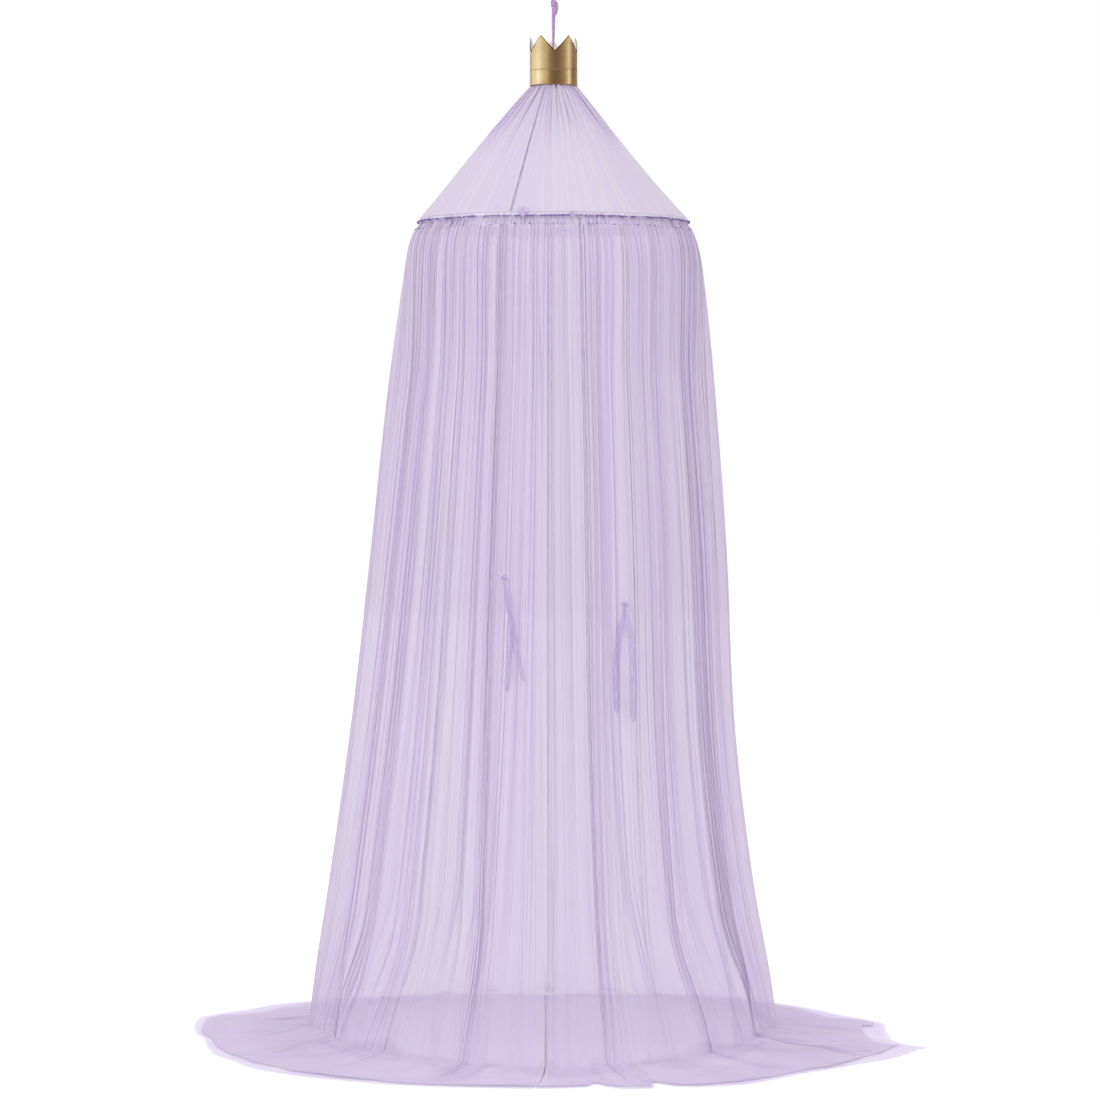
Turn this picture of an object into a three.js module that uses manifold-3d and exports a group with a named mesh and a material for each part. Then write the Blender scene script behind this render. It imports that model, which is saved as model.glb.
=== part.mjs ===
// A bed crown canopy that hangs from the ceiling: ring and ribbon, a five-point crown, a pleated tulle cone
// over a hoop, and three skirt panels that spread out on the floor. The origin is where the hook bears.
import * as THREE from "three";
import Module from "manifold-3d";
import { mergeVertices } from "three/addons/utils/BufferGeometryUtils.js";

const wasm = await Module();
wasm.setup();

// Heights, each measured up from the one before, the hoop's from the floor
const hoopHeight = 1874;
const coneHeight = 304;
const collarHeight = 34;
const shellHeight = 75;
const ribbonRise = 85;
const loopRise = 68;

const crownFootHeight = hoopHeight + coneHeight;
const crownSeamHeight = crownFootHeight + collarHeight;
const crownTipHeight = crownSeamHeight + shellHeight;
const knotTopHeight = crownTipHeight + ribbonRise;
const hangHeight = knotTopHeight + loopRise;

// Gap between pieces that touch
const seat = 0.3;

// Hanging ring and ribbon
const ringEyeRadius = 10.5;
const ringWireRadius = 1.5;
const ribbonWidth = 8;
const ribbonThickness = 0.8;
const knotHeight = 18;
const knotWidth = 15;
const knotDepth = 9;

// Crown
const crownRadius = 53.5;
const crownWall = 1.5;
const notchShare = 0.46;
const pointCount = 5;
const notchTurn = 0.061;
const pointSteps = 10;
const ledgeWidth = 3;
const ledgeHeight = 2;
const discThickness = 2;
const slotLength = 14;
const slotWidth = 5;

// Neck of the cone and its binding
const neckRadius = 16;
const neckHeight = 16;
const neckSink = 10;
const bindingWall = 1.6;

// Hoop and the casing folded over it
const hoopRadius = 300;
const hoopRodRadius = 4;
const casingRadius = 5.2;
const casingPly = 1.2;
const casingSlit = 0.5;
const ruffleDepth = 21;
const hoopSteps = 72;
const rodSides = 8;
const outerArcSteps = 6;
const innerArcSteps = 8;

// Cone cloth, its seam and the tabs at the hoop
const coneWall = 3;
const conePleats = 20;
const stepsPerPleat = 4;
const conePleatDepth = 5;
const seamWidth = 3;
const seamThickness = 1.2;
const seamTurn = -0.314;
const tabWidth = 11;
const tabHeight = 21;
const tabThickness = 1.6;
const tabFacets = [-2.5, 1.5];

// Skirt cloth
const skirtWall = 5;
const skirtFolds = 26;
const stepsPerFold = 5;
const foldDepth = 36;
const poolRidge = 12;
const floorHeight = 0;
const hemThickness = 7;
const tuckThickness = 6;
const tuckFrontShare = 0.8;
const curtainReach = 260;
const slitCentre = -30;
const slitTopWidth = 12;
const slitFloorWidth = 34;

// Curtain ties
const tieKnotWidth = 14;
const tieKnotHeight = 16;
const tieKnotDepth = 7;
const tieThickness = 0.8;
const tieClearance = 3;
const tieStrandStep = 7;
const tieTwist = 0.2;
const tieStraight = 6;
const tieSteps = 10;
const knotSides = 12;
const knotEnd = 0.7;

const casingHeight = hoopHeight + hoopRodRadius + seat - casingRadius;
const coneFoot = casingHeight + casingRadius + casingPly + seat;
const coneRise = crownFootHeight - coneFoot;
const ruffleFoot = hoopHeight - ruffleDepth;
const skirtTop = ruffleFoot - seat;

// Cone outline from hoop to crown foot: share of the hoop's radius, share of the rise, share of the pleat depth.
const coneRowShares = [
  [1.006, 0, 0.1],
  [0.77, 0.29, 0.45],
  [0.588, 0.517, 0.65],
  [0.333, 0.823, 1],
  [0.205, 0.967, 0.8],
  [0.1733, 0.9985, 0.55],
];

// Skirt outline from its top to the floor: share of its height, then of the hoop's radius on the left, right
// and front, and share of the fold depth.
const skirtRowShares = [
  [1, 1.01, 1.01, 1.01, 0.13],
  [0.965, 1.118, 1.128, 1.08, 0.36],
  [0.8026, 1.247, 1.217, 1.107, 0.58],
  [0.6056, 1.383, 1.307, 1.12, 0.7],
  [0.4086, 1.52, 1.36, 1.133, 0.78],
  [0.2116, 1.693, 1.503, 1.153, 0.88],
  [0.0642, 1.83, 1.663, 1.173, 0.95],
  [0.0189, 1.86, 1.7, 1.2, 1],
];

// Pool of cloth on the floor: share of the way from wall to hem, then share of the wall's last height.
const poolRowShares = [
  [0.14, 0.62],
  [0.5, 0.42],
  [0.9, 0.36],
];
const poolLeftShare = 2.81;
const poolRightShare = 2.85;
const poolFrontShare = 1.55;

// Outline of the hem against that ellipse, from the front round by the right.
const hemOutlineShares = [
  1, 1.02, 0.95, 0.98, 0.95, 0.97, 1.02, 1.12, 1.08, 1.13, 1.14, 1.08, 0.96, 0.97, 1, 1.01,
];

// Ties: the knot's place as [x, height], then each strand's width and its places below the knot as [x, drop],
// all as shares of the hoop's radius and height.
const tieShares = {
  left: {
    knot: [-0.357, 0.5806],
    strands: [
      { width: 0.036, places: [[-0.335, 0.025], [-0.3, 0.05], [-0.318, 0.088], [-0.35, 0.129]] },
      { width: 0.036, places: [[-0.325, 0.025], [-0.296, 0.05], [-0.26, 0.085], [-0.213, 0.115]] },
    ],
  },
  right: {
    knot: [0.517, 0.549],
    strands: [
      { width: 0.055, places: [[0.482, 0.025], [0.462, 0.055], [0.455, 0.09], [0.46, 0.121]] },
      { width: 0.055, places: [[0.552, 0.025], [0.57, 0.055], [0.578, 0.095], [0.58, 0.132]] },
    ],
  },
};

const mix = (a, b, share) => a + (b - a) * share;

// A closed skin through a row of closed loops of points. Open rows get flat ends.
function sweep(loops, ringed) {
  const size = loops[0].length;
  const points = loops.flat();
  const faces = [];
  const spans = ringed ? loops.length : loops.length - 1;
  for (let i = 0; i < spans; i++) {
    const near = i * size;
    const far = ((i + 1) % loops.length) * size;
    for (let j = 0; j < size; j++) {
      const k = (j + 1) % size;
      faces.push(near + j, far + j, far + k, near + j, far + k, near + k);
    }
  }
  if (!ringed) {
    for (const [end, turn] of [[0, 1], [loops.length - 1, -1]]) {
      const middle = new THREE.Vector3();
      loops[end].forEach((p) => middle.addScaledVector(p, 1 / size));
      points.push(middle);
      const hub = points.length - 1;
      for (let j = 0; j < size; j++) {
        const k = (j + 1) % size;
        const rim = [end * size + j, end * size + k];
        faces.push(hub, ...(turn > 0 ? rim : rim.reverse()));
      }
    }
  }
  const geometry = new THREE.BufferGeometry().setFromPoints(points).setIndex(faces);
  return facingOut(geometry);
}

// The same geometry with its faces turned outwards.
function facingOut(geometry) {
  const p = geometry.getAttribute("position");
  const index = geometry.index.array;
  const [a, b, c] = [new THREE.Vector3(), new THREE.Vector3(), new THREE.Vector3()];
  let volume = 0;
  for (let i = 0; i < index.length; i += 3) {
    a.fromBufferAttribute(p, index[i]);
    b.fromBufferAttribute(p, index[i + 1]);
    c.fromBufferAttribute(p, index[i + 2]);
    volume += a.dot(b.cross(c));
  }
  if (volume < 0) {
    geometry.setIndex(Array.from(index).reverse());
  }
  return geometry;
}

function toSolid(geometry) {
  const bare = new THREE.BufferGeometry().setAttribute("position", geometry.getAttribute("position").clone());
  if (geometry.index) {
    bare.setIndex(geometry.index.clone());
  }
  const merged = mergeVertices(bare, seat / 100);
  return new wasm.Manifold(
    new wasm.Mesh({
      numProp: 3,
      vertProperties: merged.getAttribute("position").array,
      triVerts: new Uint32Array(merged.index.array),
    }),
  );
}

function toGeometry(solid) {
  const mesh = solid.getMesh();
  return new THREE.BufferGeometry()
    .setAttribute("position", new THREE.BufferAttribute(new Float32Array(mesh.vertProperties), 3))
    .setIndex(new THREE.BufferAttribute(new Uint32Array(mesh.triVerts), 1));
}

// A ring about the vertical axis from a closed outline of [radius, height].
function ringOf(outline, steps) {
  const loops = [];
  for (let i = 0; i < steps; i++) {
    const turn = (2 * Math.PI * i) / steps;
    loops.push(outline.map(([r, z]) => new THREE.Vector3(r * Math.sin(turn), -r * Math.cos(turn), z)));
  }
  return sweep(loops, true);
}

// A flat strap along a path, with its width turned about the path by the given angles from +X towards +Y.
function strap(path, width, thickness, angles) {
  const loops = path.map((p, i) => {
    const along = new THREE.Vector3()
      .subVectors(path[Math.min(i + 1, path.length - 1)], path[Math.max(i - 1, 0)])
      .normalize();
    const across = new THREE.Vector3(Math.cos(angles(i)), Math.sin(angles(i)), 0);
    across.addScaledVector(along, -across.dot(along)).normalize();
    const out = new THREE.Vector3().crossVectors(along, across);
    return [[1, 1], [-1, 1], [-1, -1], [1, -1]].map(([u, v]) =>
      p.clone().addScaledVector(across, (u * width) / 2).addScaledVector(out, (v * thickness) / 2),
    );
  });
  return sweep(loops, false);
}

const canopy = new THREE.Group();
canopy.name = "bed_crown_canopy";
canopy.position.z = -hangHeight;

const metal = { color: "#c9a766", roughness: 0.3, metalness: 1 };
const satin = { color: "#bf9acb", roughness: 0.5, metalness: 0 };
const tulle = { color: "#cbb7da", roughness: 0.9, metalness: 0 };
const plastic = { color: "#f0edf2", roughness: 0.4, metalness: 0 };

function add(name, geometry, look) {
  const mesh = new THREE.Mesh(geometry, new THREE.MeshStandardMaterial(look));
  mesh.name = name;
  canopy.add(mesh);
  return mesh;
}

// Hanging ring, standing upright with its eye facing front
const ringCentre = hangHeight - ringEyeRadius;
const ringRadius = ringEyeRadius + ringWireRadius;
const ring = add("hanging_ring", new THREE.TorusGeometry(ringRadius, ringWireRadius, rodSides, 32), metal);
ring.rotation.x = Math.PI / 2;
ring.position.z = ringCentre;

// Ribbon loop over the ring's lowest wire, the knot under it, and the ribbon down to the neck
const loopRadius = ringWireRadius + seat + ribbonThickness / 2;
const loopFoot = knotTopHeight + seat;
const loopTop = ringCentre - ringRadius;
const wireRise = ringRadius - Math.sqrt(ringRadius ** 2 - (ribbonWidth / 2) ** 2);
const loopPath = [];
const loopSteps = 8;
for (const side of [-1, 1]) {
  const leg = [];
  for (let i = 0; i < 3; i++) {
    const share = i / 3;
    leg.push(new THREE.Vector3(0, side * mix(ribbonThickness, loopRadius, share), mix(loopFoot, loopTop, share)));
  }
  if (side < 0) {
    loopPath.push(...leg);
    for (let i = 0; i <= loopSteps; i++) {
      const roll = Math.PI * (1 - i / loopSteps);
      loopPath.push(new THREE.Vector3(0, loopRadius * Math.cos(roll), loopTop + (loopRadius + wireRise) * Math.sin(roll)));
    }
  } else {
    loopPath.push(...leg.reverse());
  }
}
add("ribbon_loop", strap(loopPath, ribbonWidth, ribbonThickness, () => 0), satin);

add("ribbon_knot", knotShape(knotWidth, knotDepth, knotHeight), satin).position.z = knotTopHeight - knotHeight / 2;

const neckHoleRadius = ribbonWidth / 2 + seat;
const neckTop = crownSeamHeight - neckSink;
const ribbonTop = knotTopHeight - knotHeight - seat;
const ribbonFoot = neckTop - neckHeight;
const ribbonPath = [];
const ribbonSteps = 12;
for (let i = 0; i <= ribbonSteps; i++) {
  ribbonPath.push(new THREE.Vector3(0, 0, mix(ribbonTop, ribbonFoot, i / ribbonSteps)));
}
add("hanging_ribbon", strap(ribbonPath, ribbonWidth, ribbonThickness, () => 0), satin);

// Crown shell with its points, each edge running straight from tip to notch
const shellInner = crownRadius - crownWall;
const shellFoot = crownSeamHeight + seat;
const shellSteps = pointCount * pointSteps;
const shellLoops = [];
for (let i = 0; i < shellSteps; i++) {
  const turn = notchTurn + (2 * Math.PI * i) / shellSteps;
  const inPoint = (i % pointSteps) / pointSteps;
  const climb = 1 - Math.abs(1 - 2 * inPoint);
  const top = crownTipHeight - notchShare * shellHeight * (1 - climb);
  shellLoops.push(
    [[crownRadius, shellFoot], [crownRadius, top], [shellInner, top], [shellInner, shellFoot]].map(
      ([r, z]) => new THREE.Vector3(r * Math.sin(turn), -r * Math.cos(turn), z),
    ),
  );
}
add("crown_shell", sweep(shellLoops, true), metal);

// Crown collar under the shell, with a ledge inside that carries the disc
const discFoot = crownSeamHeight - discThickness - seat;
const ledgeTop = discFoot - seat;
const ledgeInner = shellInner - ledgeWidth;
add(
  "crown_collar",
  ringOf(
    [
      [crownRadius, crownFootHeight],
      [crownRadius, crownSeamHeight],
      [shellInner, crownSeamHeight],
      [shellInner, ledgeTop],
      [ledgeInner, ledgeTop],
      [ledgeInner, ledgeTop - ledgeHeight],
      [shellInner, ledgeTop - ledgeHeight - ledgeWidth],
      [shellInner, crownFootHeight],
    ],
    shellSteps,
  ),
  metal,
);

const discRadius = shellInner - seat;
const disc = new THREE.CylinderGeometry(discRadius, discRadius, discThickness, shellSteps);
disc.rotateX(Math.PI / 2);
const slot = new THREE.BoxGeometry(slotLength, slotWidth, 3 * discThickness);
add("crown_disc", toGeometry(toSolid(disc).subtract(toSolid(slot))), metal).position.z =
  discFoot + discThickness / 2;

// Cone cloth, from its gathered neck inside the crown down to the hoop
const coneRows = coneRowShares.map(([r, z, d]) => [r * hoopRadius, coneFoot + z * coneRise, d * conePleatDepth]);
const neckRows = [
  [neckRadius + bindingWall * 2, ribbonFoot - neckHeight / 4, 0],
  [neckRadius, ribbonFoot, 0],
  [neckRadius, neckTop, 0],
];
const outerRows = [...coneRows, ...neckRows];
const innerRows = [
  [neckHoleRadius, neckTop, 0],
  [neckHoleRadius, ribbonFoot, 0],
  ...coneRows
    .slice(0, -1)
    .reverse()
    .map(([r, z, d], i, list) => (i < list.length - 1 ? [r - coneWall, z - coneWall, d] : [r - 2 * coneWall, z, d])),
];
const coneSteps = conePleats * stepsPerPleat;
const coneLoops = [];
for (let i = 0; i < coneSteps; i++) {
  const turn = (2 * Math.PI * i) / coneSteps;
  const dip = (1 - Math.cos(conePleats * turn)) / 2;
  coneLoops.push(
    [...outerRows, ...innerRows].map(([r, z, d]) => {
      const reach = r - d * dip;
      return new THREE.Vector3(reach * Math.sin(turn), -reach * Math.cos(turn), z);
    }),
  );
}
add("cone_cloth", sweep(coneLoops, true), tulle);

const bindingInner = neckRadius + seat;
const bindingOuter = bindingInner + bindingWall;
const bindingFoot = ribbonFoot + seat * 4;
add(
  "neck_binding",
  ringOf(
    [
      [bindingInner, bindingFoot],
      [bindingOuter, bindingFoot],
      [bindingOuter, neckTop - seat],
      [bindingInner, neckTop - seat],
    ],
    24,
  ),
  satin,
);

// Bound seam down the cone, lying just outside its pleats
const seamPath = [];
const seamRows = coneRows.slice(0, -1);
for (const [i, [r, z]] of seamRows.entries()) {
  const reach = r + seamThickness / 2 + seat * 2;
  const lift = i === 0 ? seamThickness + seat : seamThickness / 2 + seat;
  seamPath.push(new THREE.Vector3(reach * Math.sin(seamTurn), -reach * Math.cos(seamTurn), z + lift));
}
add("cone_seam", strap(seamPath, seamWidth, seamThickness, () => seamTurn), tulle);

// Hoop, and the casing that hangs on it with its two plies below as the ruffle band
const hoopOutline = [];
for (let j = 0; j < rodSides; j++) {
  const roll = (2 * Math.PI * j) / rodSides;
  hoopOutline.push([hoopRadius + hoopRodRadius * Math.sin(roll), hoopHeight + hoopRodRadius * Math.cos(roll)]);
}
add("hoop", ringOf(hoopOutline, hoopSteps), plastic);

const casingOutline = [];
function casingArc(radius, halfGap, steps, turn) {
  const start = Math.asin(halfGap / radius);
  for (let i = 0; i <= steps; i++) {
    const roll = turn * mix(-Math.PI + start, Math.PI - start, i / steps);
    casingOutline.push([hoopRadius - radius * Math.sin(roll), casingHeight + radius * Math.cos(roll)]);
  }
}
const plyInner = casingSlit / 2;
const plyOuter = plyInner + casingPly;
casingOutline.push([hoopRadius + plyOuter, ruffleFoot]);
casingArc(casingRadius + casingPly, plyOuter, outerArcSteps, 1);
casingOutline.push([hoopRadius - plyOuter, ruffleFoot], [hoopRadius - plyInner, ruffleFoot]);
casingArc(casingRadius, plyInner, innerArcSteps, -1);
casingOutline.push([hoopRadius + plyInner, ruffleFoot]);
add("hoop_casing", ringOf(casingOutline, hoopSteps), tulle);

// Two small tabs standing up at the hoop's front, each flat on a facet of the casing
const casingReach = Math.max(...casingOutline.map(([r]) => r)) * Math.cos(Math.PI / hoopSteps);
tabFacets.forEach((facet, i) => {
  const turn = (2 * Math.PI * facet) / hoopSteps;
  const reach = casingReach + seat + tabThickness / 2;
  const tab = add("hoop_tab_" + (i + 1), new THREE.BoxGeometry(tabWidth, tabThickness, tabHeight), satin);
  tab.rotation.z = turn;
  tab.position.set(reach * Math.sin(turn), -reach * Math.cos(turn), casingHeight + tabHeight / 2 - casingRadius);
});

// Plan of the skirt at one row: half widths left, right and front become a ring of half ellipses.
function skirtPlan(turn, left, right, front, inset) {
  const half = (Math.sin(turn) < 0 ? left : right) - inset;
  return [half * Math.sin(turn), -(front - inset) * Math.cos(turn)];
}

// How far the cloth dips between folds at a bearing, from 0 on a crest to 1.
function foldDip(turn) {
  const drift = 0.8 * Math.sin(3 * turn + 1) + 0.5 * Math.sin(7 * turn);
  const strength = 0.78 + 0.22 * Math.sin(5 * turn + 2);
  return (strength * (1 - Math.cos(skirtFolds * turn + drift))) / 2;
}

function hemOutline(turn) {
  const place = (((turn / (2 * Math.PI)) % 1) + 1) % 1 * hemOutlineShares.length;
  const low = Math.floor(place);
  const ease = (1 - Math.cos(Math.PI * (place - low))) / 2;
  return mix(hemOutlineShares[low], hemOutlineShares[(low + 1) % hemOutlineShares.length], ease);
}

function skirtLoop(turn) {
  const dip = foldDip(turn);
  const outer = [];
  const inner = [];
  for (const [z, left, right, front, fold] of skirtRowShares) {
    const inset = fold * foldDepth * dip;
    const plan = [turn, left * hoopRadius, right * hoopRadius, front * hoopRadius];
    outer.push(new THREE.Vector3(...skirtPlan(...plan, inset), z * skirtTop));
    inner.push(new THREE.Vector3(...skirtPlan(...plan, inset + skirtWall), z * skirtTop));
  }
  const base = outer[outer.length - 1];
  const innerBase = inner[inner.length - 1].clone().setZ(floorHeight);
  const spread = hemOutline(turn);
  const hem = new THREE.Vector3(
    ...skirtPlan(turn, poolLeftShare * spread * hoopRadius, poolRightShare * spread * hoopRadius,
      poolFrontShare * spread * hoopRadius, poolRidge * dip),
    floorHeight,
  );
  const pool = poolRowShares.map(([way, tall]) => {
    const p = new THREE.Vector3().lerpVectors(base, hem, way);
    p.z = base.z * tall - poolRidge * dip * (1 - way / 2) * tall * 2 + poolRidge / 4;
    return p;
  });
  const hemTop = hem.clone().setZ(hemThickness);
  inner.pop();
  return [...outer, ...pool, hemTop, hem, innerBase, ...inner.reverse()];
}

const skirtLoops = [];
const skirtSteps = skirtFolds * stepsPerFold;
for (let i = 0; i < skirtSteps; i++) {
  skirtLoops.push(skirtLoop((2 * Math.PI * i) / skirtSteps));
}
const skirt = toSolid(sweep(skirtLoops, true));

// Cloth tucked in over the floor behind the curtains, a thin plate that reaches the middle of the wall
// at the back and sides and stays clear of it in front.
function tuckLoop(height) {
  const [, left, right, front, fold] = skirtRowShares[skirtRowShares.length - 1];
  const points = [];
  for (let i = 0; i < skirtSteps; i++) {
    const turn = (2 * Math.PI * i) / skirtSteps;
    const depth = Math.cos(turn) > 0 ? front * tuckFrontShare : front;
    const inset = fold * foldDepth * foldDip(turn) + skirtWall / 2;
    const plan = skirtPlan(turn, left * hoopRadius, right * hoopRadius, depth * hoopRadius, inset);
    points.push(new THREE.Vector3(...plan, height));
  }
  return points;
}
const tuck = toSolid(sweep([tuckLoop(floorHeight), tuckLoop(floorHeight + tuckThickness)], false));

// A block between two depths, its left and right faces leaning from the given x on top to that at the floor.
function block(nearY, farY, topLow, topHigh, floorLow, floorHigh) {
  const below = -hemThickness;
  const above = hoopHeight;
  const loop = (y) =>
    [[floorLow, below], [floorHigh, below], [topHigh, above], [topLow, above]].map(
      ([x, z]) => new THREE.Vector3(x, y, z),
    );
  return toSolid(sweep([loop(nearY), loop(farY)], false));
}

const reach = poolRightShare * hoopRadius * 2;
const slitTop = slitTopWidth / 2;
const slitFloor = slitFloorWidth / 2;
const inner = curtainReach - seat;
const panels = {
  skirt_back: block(0, reach, -inner, inner, -inner, inner),
  skirt_left: block(-reach, reach, -reach, -curtainReach, -reach, -curtainReach),
  skirt_right: block(-reach, reach, curtainReach, reach, curtainReach, reach),
  curtain_left: block(-reach, 0, -inner, slitCentre - slitTop, -inner, slitCentre - slitFloor),
  curtain_right: block(-reach, 0, slitCentre + slitTop, inner, slitCentre + slitFloor, inner),
};
const tuckBands = {
  skirt_back: block(-reach, reach, -inner, inner, -inner, inner),
  skirt_left: panels.skirt_left,
  skirt_right: panels.skirt_right,
};
for (const [name, piece] of Object.entries(panels)) {
  const cloth = skirt.intersect(piece);
  const band = tuckBands[name];
  add(name, toGeometry(band ? cloth.add(tuck.intersect(band)) : cloth), tulle);
}

// The y of the skirt's outer face in front at a place, read from its own facets.
function clothFace(x, z) {
  const low = skirtRowShares.findIndex((row) => row[0] * skirtTop <= z);
  const at = (column) => {
    const loop = skirtLoops[(column + skirtSteps) % skirtSteps];
    const [a, b] = [loop[low - 1], loop[low]];
    return new THREE.Vector3().lerpVectors(a, b, (z - a.z) / (b.z - a.z));
  };
  for (let column = -Math.floor(skirtSteps / 4); column < skirtSteps / 4; column++) {
    const [a, b] = [at(column), at(column + 1)];
    if (a.x <= x && x < b.x) {
      return mix(a.y, b.y, (x - a.x) / (b.x - a.x));
    }
  }
  throw new Error("no cloth in front there");
}

// The frontmost y of the cloth across a width.
function crestFace(x, z, width) {
  return Math.min(...[-1, -0.5, 0, 0.5, 1].map((s) => clothFace(x + (s * width) / 2, z)));
}

// The y at which a tie's knot just touches the cloth.
function knotSeat(x, z) {
  const touches = [];
  for (let i = 0; i <= knotSides; i++) {
    const roll = (Math.PI * i) / knotSides;
    const face = x - (tieKnotWidth / 2) * Math.cos(roll);
    for (const level of [z - tieKnotHeight / 4, z, z + tieKnotHeight / 4]) {
      touches.push(clothFace(face, level) - (tieKnotDepth / 2) * Math.sin(roll));
    }
  }
  return Math.min(...touches);
}

// A knot: a barrel with flat ends, drawn out to its width and depth.
function knotShape(width, depth, height) {
  const half = height / 2;
  const barrel = new THREE.LatheGeometry(
    [[0, -half], [knotEnd * half, -half], [half, -half / 2], [half, half / 2], [knotEnd * half, half], [0, half]].map(
      ([r, y]) => new THREE.Vector2(r, y),
    ),
    knotSides,
  );
  barrel.rotateX(Math.PI / 2);
  barrel.scale(width / height, depth / height, 1);
  return barrel;
}

for (const [name, { knot: [knotX, knotZ], strands }] of Object.entries(tieShares)) {
  const x = knotX * hoopRadius;
  const z = knotZ * hoopHeight;
  const y = knotSeat(x, z) - seat;
  const knotFoot = z - tieKnotHeight / 2 - seat;
  add(name + "_tie_knot", knotShape(tieKnotWidth, tieKnotDepth, tieKnotHeight), satin).position.set(x, y, z);
  strands.forEach(({ width, places }, i) => {
    const side = 2 * i - 1;
    const top = new THREE.Vector3(x, y - side * (tieThickness / 2 + seat), knotFoot);
    const start = top.clone().setZ(knotFoot - tieStraight);
    const curve = new THREE.CatmullRomCurve3([
      start,
      ...places.map(([px, drop]) => {
        const [sx, sz] = [px * hoopRadius, knotFoot - drop * hoopHeight];
        const face = crestFace(sx, sz, width * hoopRadius);
        return new THREE.Vector3(sx, Math.min(face, y) - tieClearance - tieStrandStep * i, sz);
      }),
    ]);
    const path = [top, ...curve.getPoints(tieSteps)];
    const twist = (step) => tieTwist * Math.sin((Math.max(step - 1, 0) / tieSteps) * Math.PI) * side;
    const strand = strap(path, width * hoopRadius, tieThickness, twist);
    add(name + "_tie_strand_" + (i + 1), strand, satin);
  });
}

export default canopy;
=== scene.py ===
import math

import bmesh
import bpy
import numpy as np
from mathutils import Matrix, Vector


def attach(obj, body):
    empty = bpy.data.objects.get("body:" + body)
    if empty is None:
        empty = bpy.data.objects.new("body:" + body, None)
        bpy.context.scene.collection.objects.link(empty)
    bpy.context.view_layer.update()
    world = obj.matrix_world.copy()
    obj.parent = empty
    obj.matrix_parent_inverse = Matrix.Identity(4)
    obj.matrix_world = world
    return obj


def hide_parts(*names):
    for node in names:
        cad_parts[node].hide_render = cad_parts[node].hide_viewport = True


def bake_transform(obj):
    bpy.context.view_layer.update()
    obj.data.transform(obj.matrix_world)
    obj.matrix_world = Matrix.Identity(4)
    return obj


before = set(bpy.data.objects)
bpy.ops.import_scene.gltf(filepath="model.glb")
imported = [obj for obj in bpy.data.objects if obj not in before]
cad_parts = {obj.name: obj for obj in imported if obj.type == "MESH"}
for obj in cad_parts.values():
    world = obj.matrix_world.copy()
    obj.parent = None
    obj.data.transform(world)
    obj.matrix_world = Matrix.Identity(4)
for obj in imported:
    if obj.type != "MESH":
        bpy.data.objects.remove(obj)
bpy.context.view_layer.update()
scene = bpy.context.scene
floorLevel = -2.44  # the frame's origin is at the ceiling hook
print("frame loaded with", len(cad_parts), "nodes")


# Camera, at the height of a standing person's chest and well back

view = {"place": (-0.008, -6.636, -0.918), "pitchDegrees": 3.384, "lens": 95.54, "sensor": 36.0}


def placeCamera():
    data = bpy.data.cameras.new("roomCamera")
    data.lens = view["lens"]
    data.sensor_width = view["sensor"]
    data.clip_end = 60
    camera = bpy.data.objects.new("roomCamera", data)
    camera.location = view["place"]
    camera.rotation_euler = (math.radians(90 - view["pitchDegrees"]), 0, 0)
    scene.collection.objects.link(camera)
    scene.camera = camera


placeCamera()
print("camera placed")


# Small helpers for nodes, noise and meshes

def linear(red, green, blue):
    # a screen colour, 0 to 255, as the shader's own numbers
    out = []
    for value in (red, green, blue):
        value = value / 255
        out.append(value / 12.92 if value <= 0.04045 else ((value + 0.055) / 1.055) ** 2.4)
    return (*out, 1)


def startMaterial(name):
    material = bpy.data.materials.new(name)
    material.use_nodes = True
    tree = material.node_tree
    return material, tree, tree.nodes["Principled BSDF"]


def addNode(tree, kind, inputs=None, **settings):
    node = tree.nodes.new(kind)
    for key, value in settings.items():
        setattr(node, key, value)
    for key, value in (inputs or {}).items():
        node.inputs[key].default_value = value
    return node


def mixColours(tree, factor, first, second, blend="MIX"):
    node = addNode(tree, "ShaderNodeMix", data_type="RGBA", blend_type=blend)
    for socket, value in ((node.inputs[0], factor), (node.inputs[6], first), (node.inputs[7], second)):
        if isinstance(value, bpy.types.NodeSocket):
            tree.links.new(value, socket)
        else:
            socket.default_value = value
    return node.outputs[2]


def rampOf(tree, source, stops):
    ramp = addNode(tree, "ShaderNodeValToRGB")
    elements = ramp.color_ramp.elements
    while len(elements) < len(stops):
        elements.new(0.5)
    for element, (place, value) in zip(elements, stops):
        element.position = place
        element.color = value if hasattr(value, "__len__") else (value, value, value, 1)
    tree.links.new(source, ramp.inputs[0])
    return ramp.outputs[0]


def clothCoordinates(tree, scale):
    source = addNode(tree, "ShaderNodeUVMap", uv_map="clothMap")
    stretch = addNode(tree, "ShaderNodeMapping", {"Scale": scale})
    tree.links.new(source.outputs[0], stretch.inputs[0])
    return stretch.outputs[0]


def objectCoordinates(tree, scale):
    source = addNode(tree, "ShaderNodeTexCoord")
    stretch = addNode(tree, "ShaderNodeMapping", {"Scale": scale})
    tree.links.new(source.outputs["Object"], stretch.inputs[0])
    return stretch.outputs[0]


def addBump(tree, shader, height, strength, distance):
    bump = addNode(tree, "ShaderNodeBump", {"Strength": strength, "Distance": distance})
    tree.links.new(height, bump.inputs["Height"])
    tree.links.new(bump.outputs[0], shader.inputs["Normal"])


def wander(seed, low, high, terms=14):
    # a wavy number all the way round the hoop, with no step where it closes
    source = np.random.default_rng(seed)
    counts = source.integers(low, high + 1, terms)
    phases = source.uniform(0, 2 * math.pi, terms)
    scale = math.sqrt(2 / terms)

    def at(turn):
        total = np.zeros_like(turn)
        for count, phase in zip(counts, phases):
            total += np.cos(count * turn + phase)
        return total * scale
    return at


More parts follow.
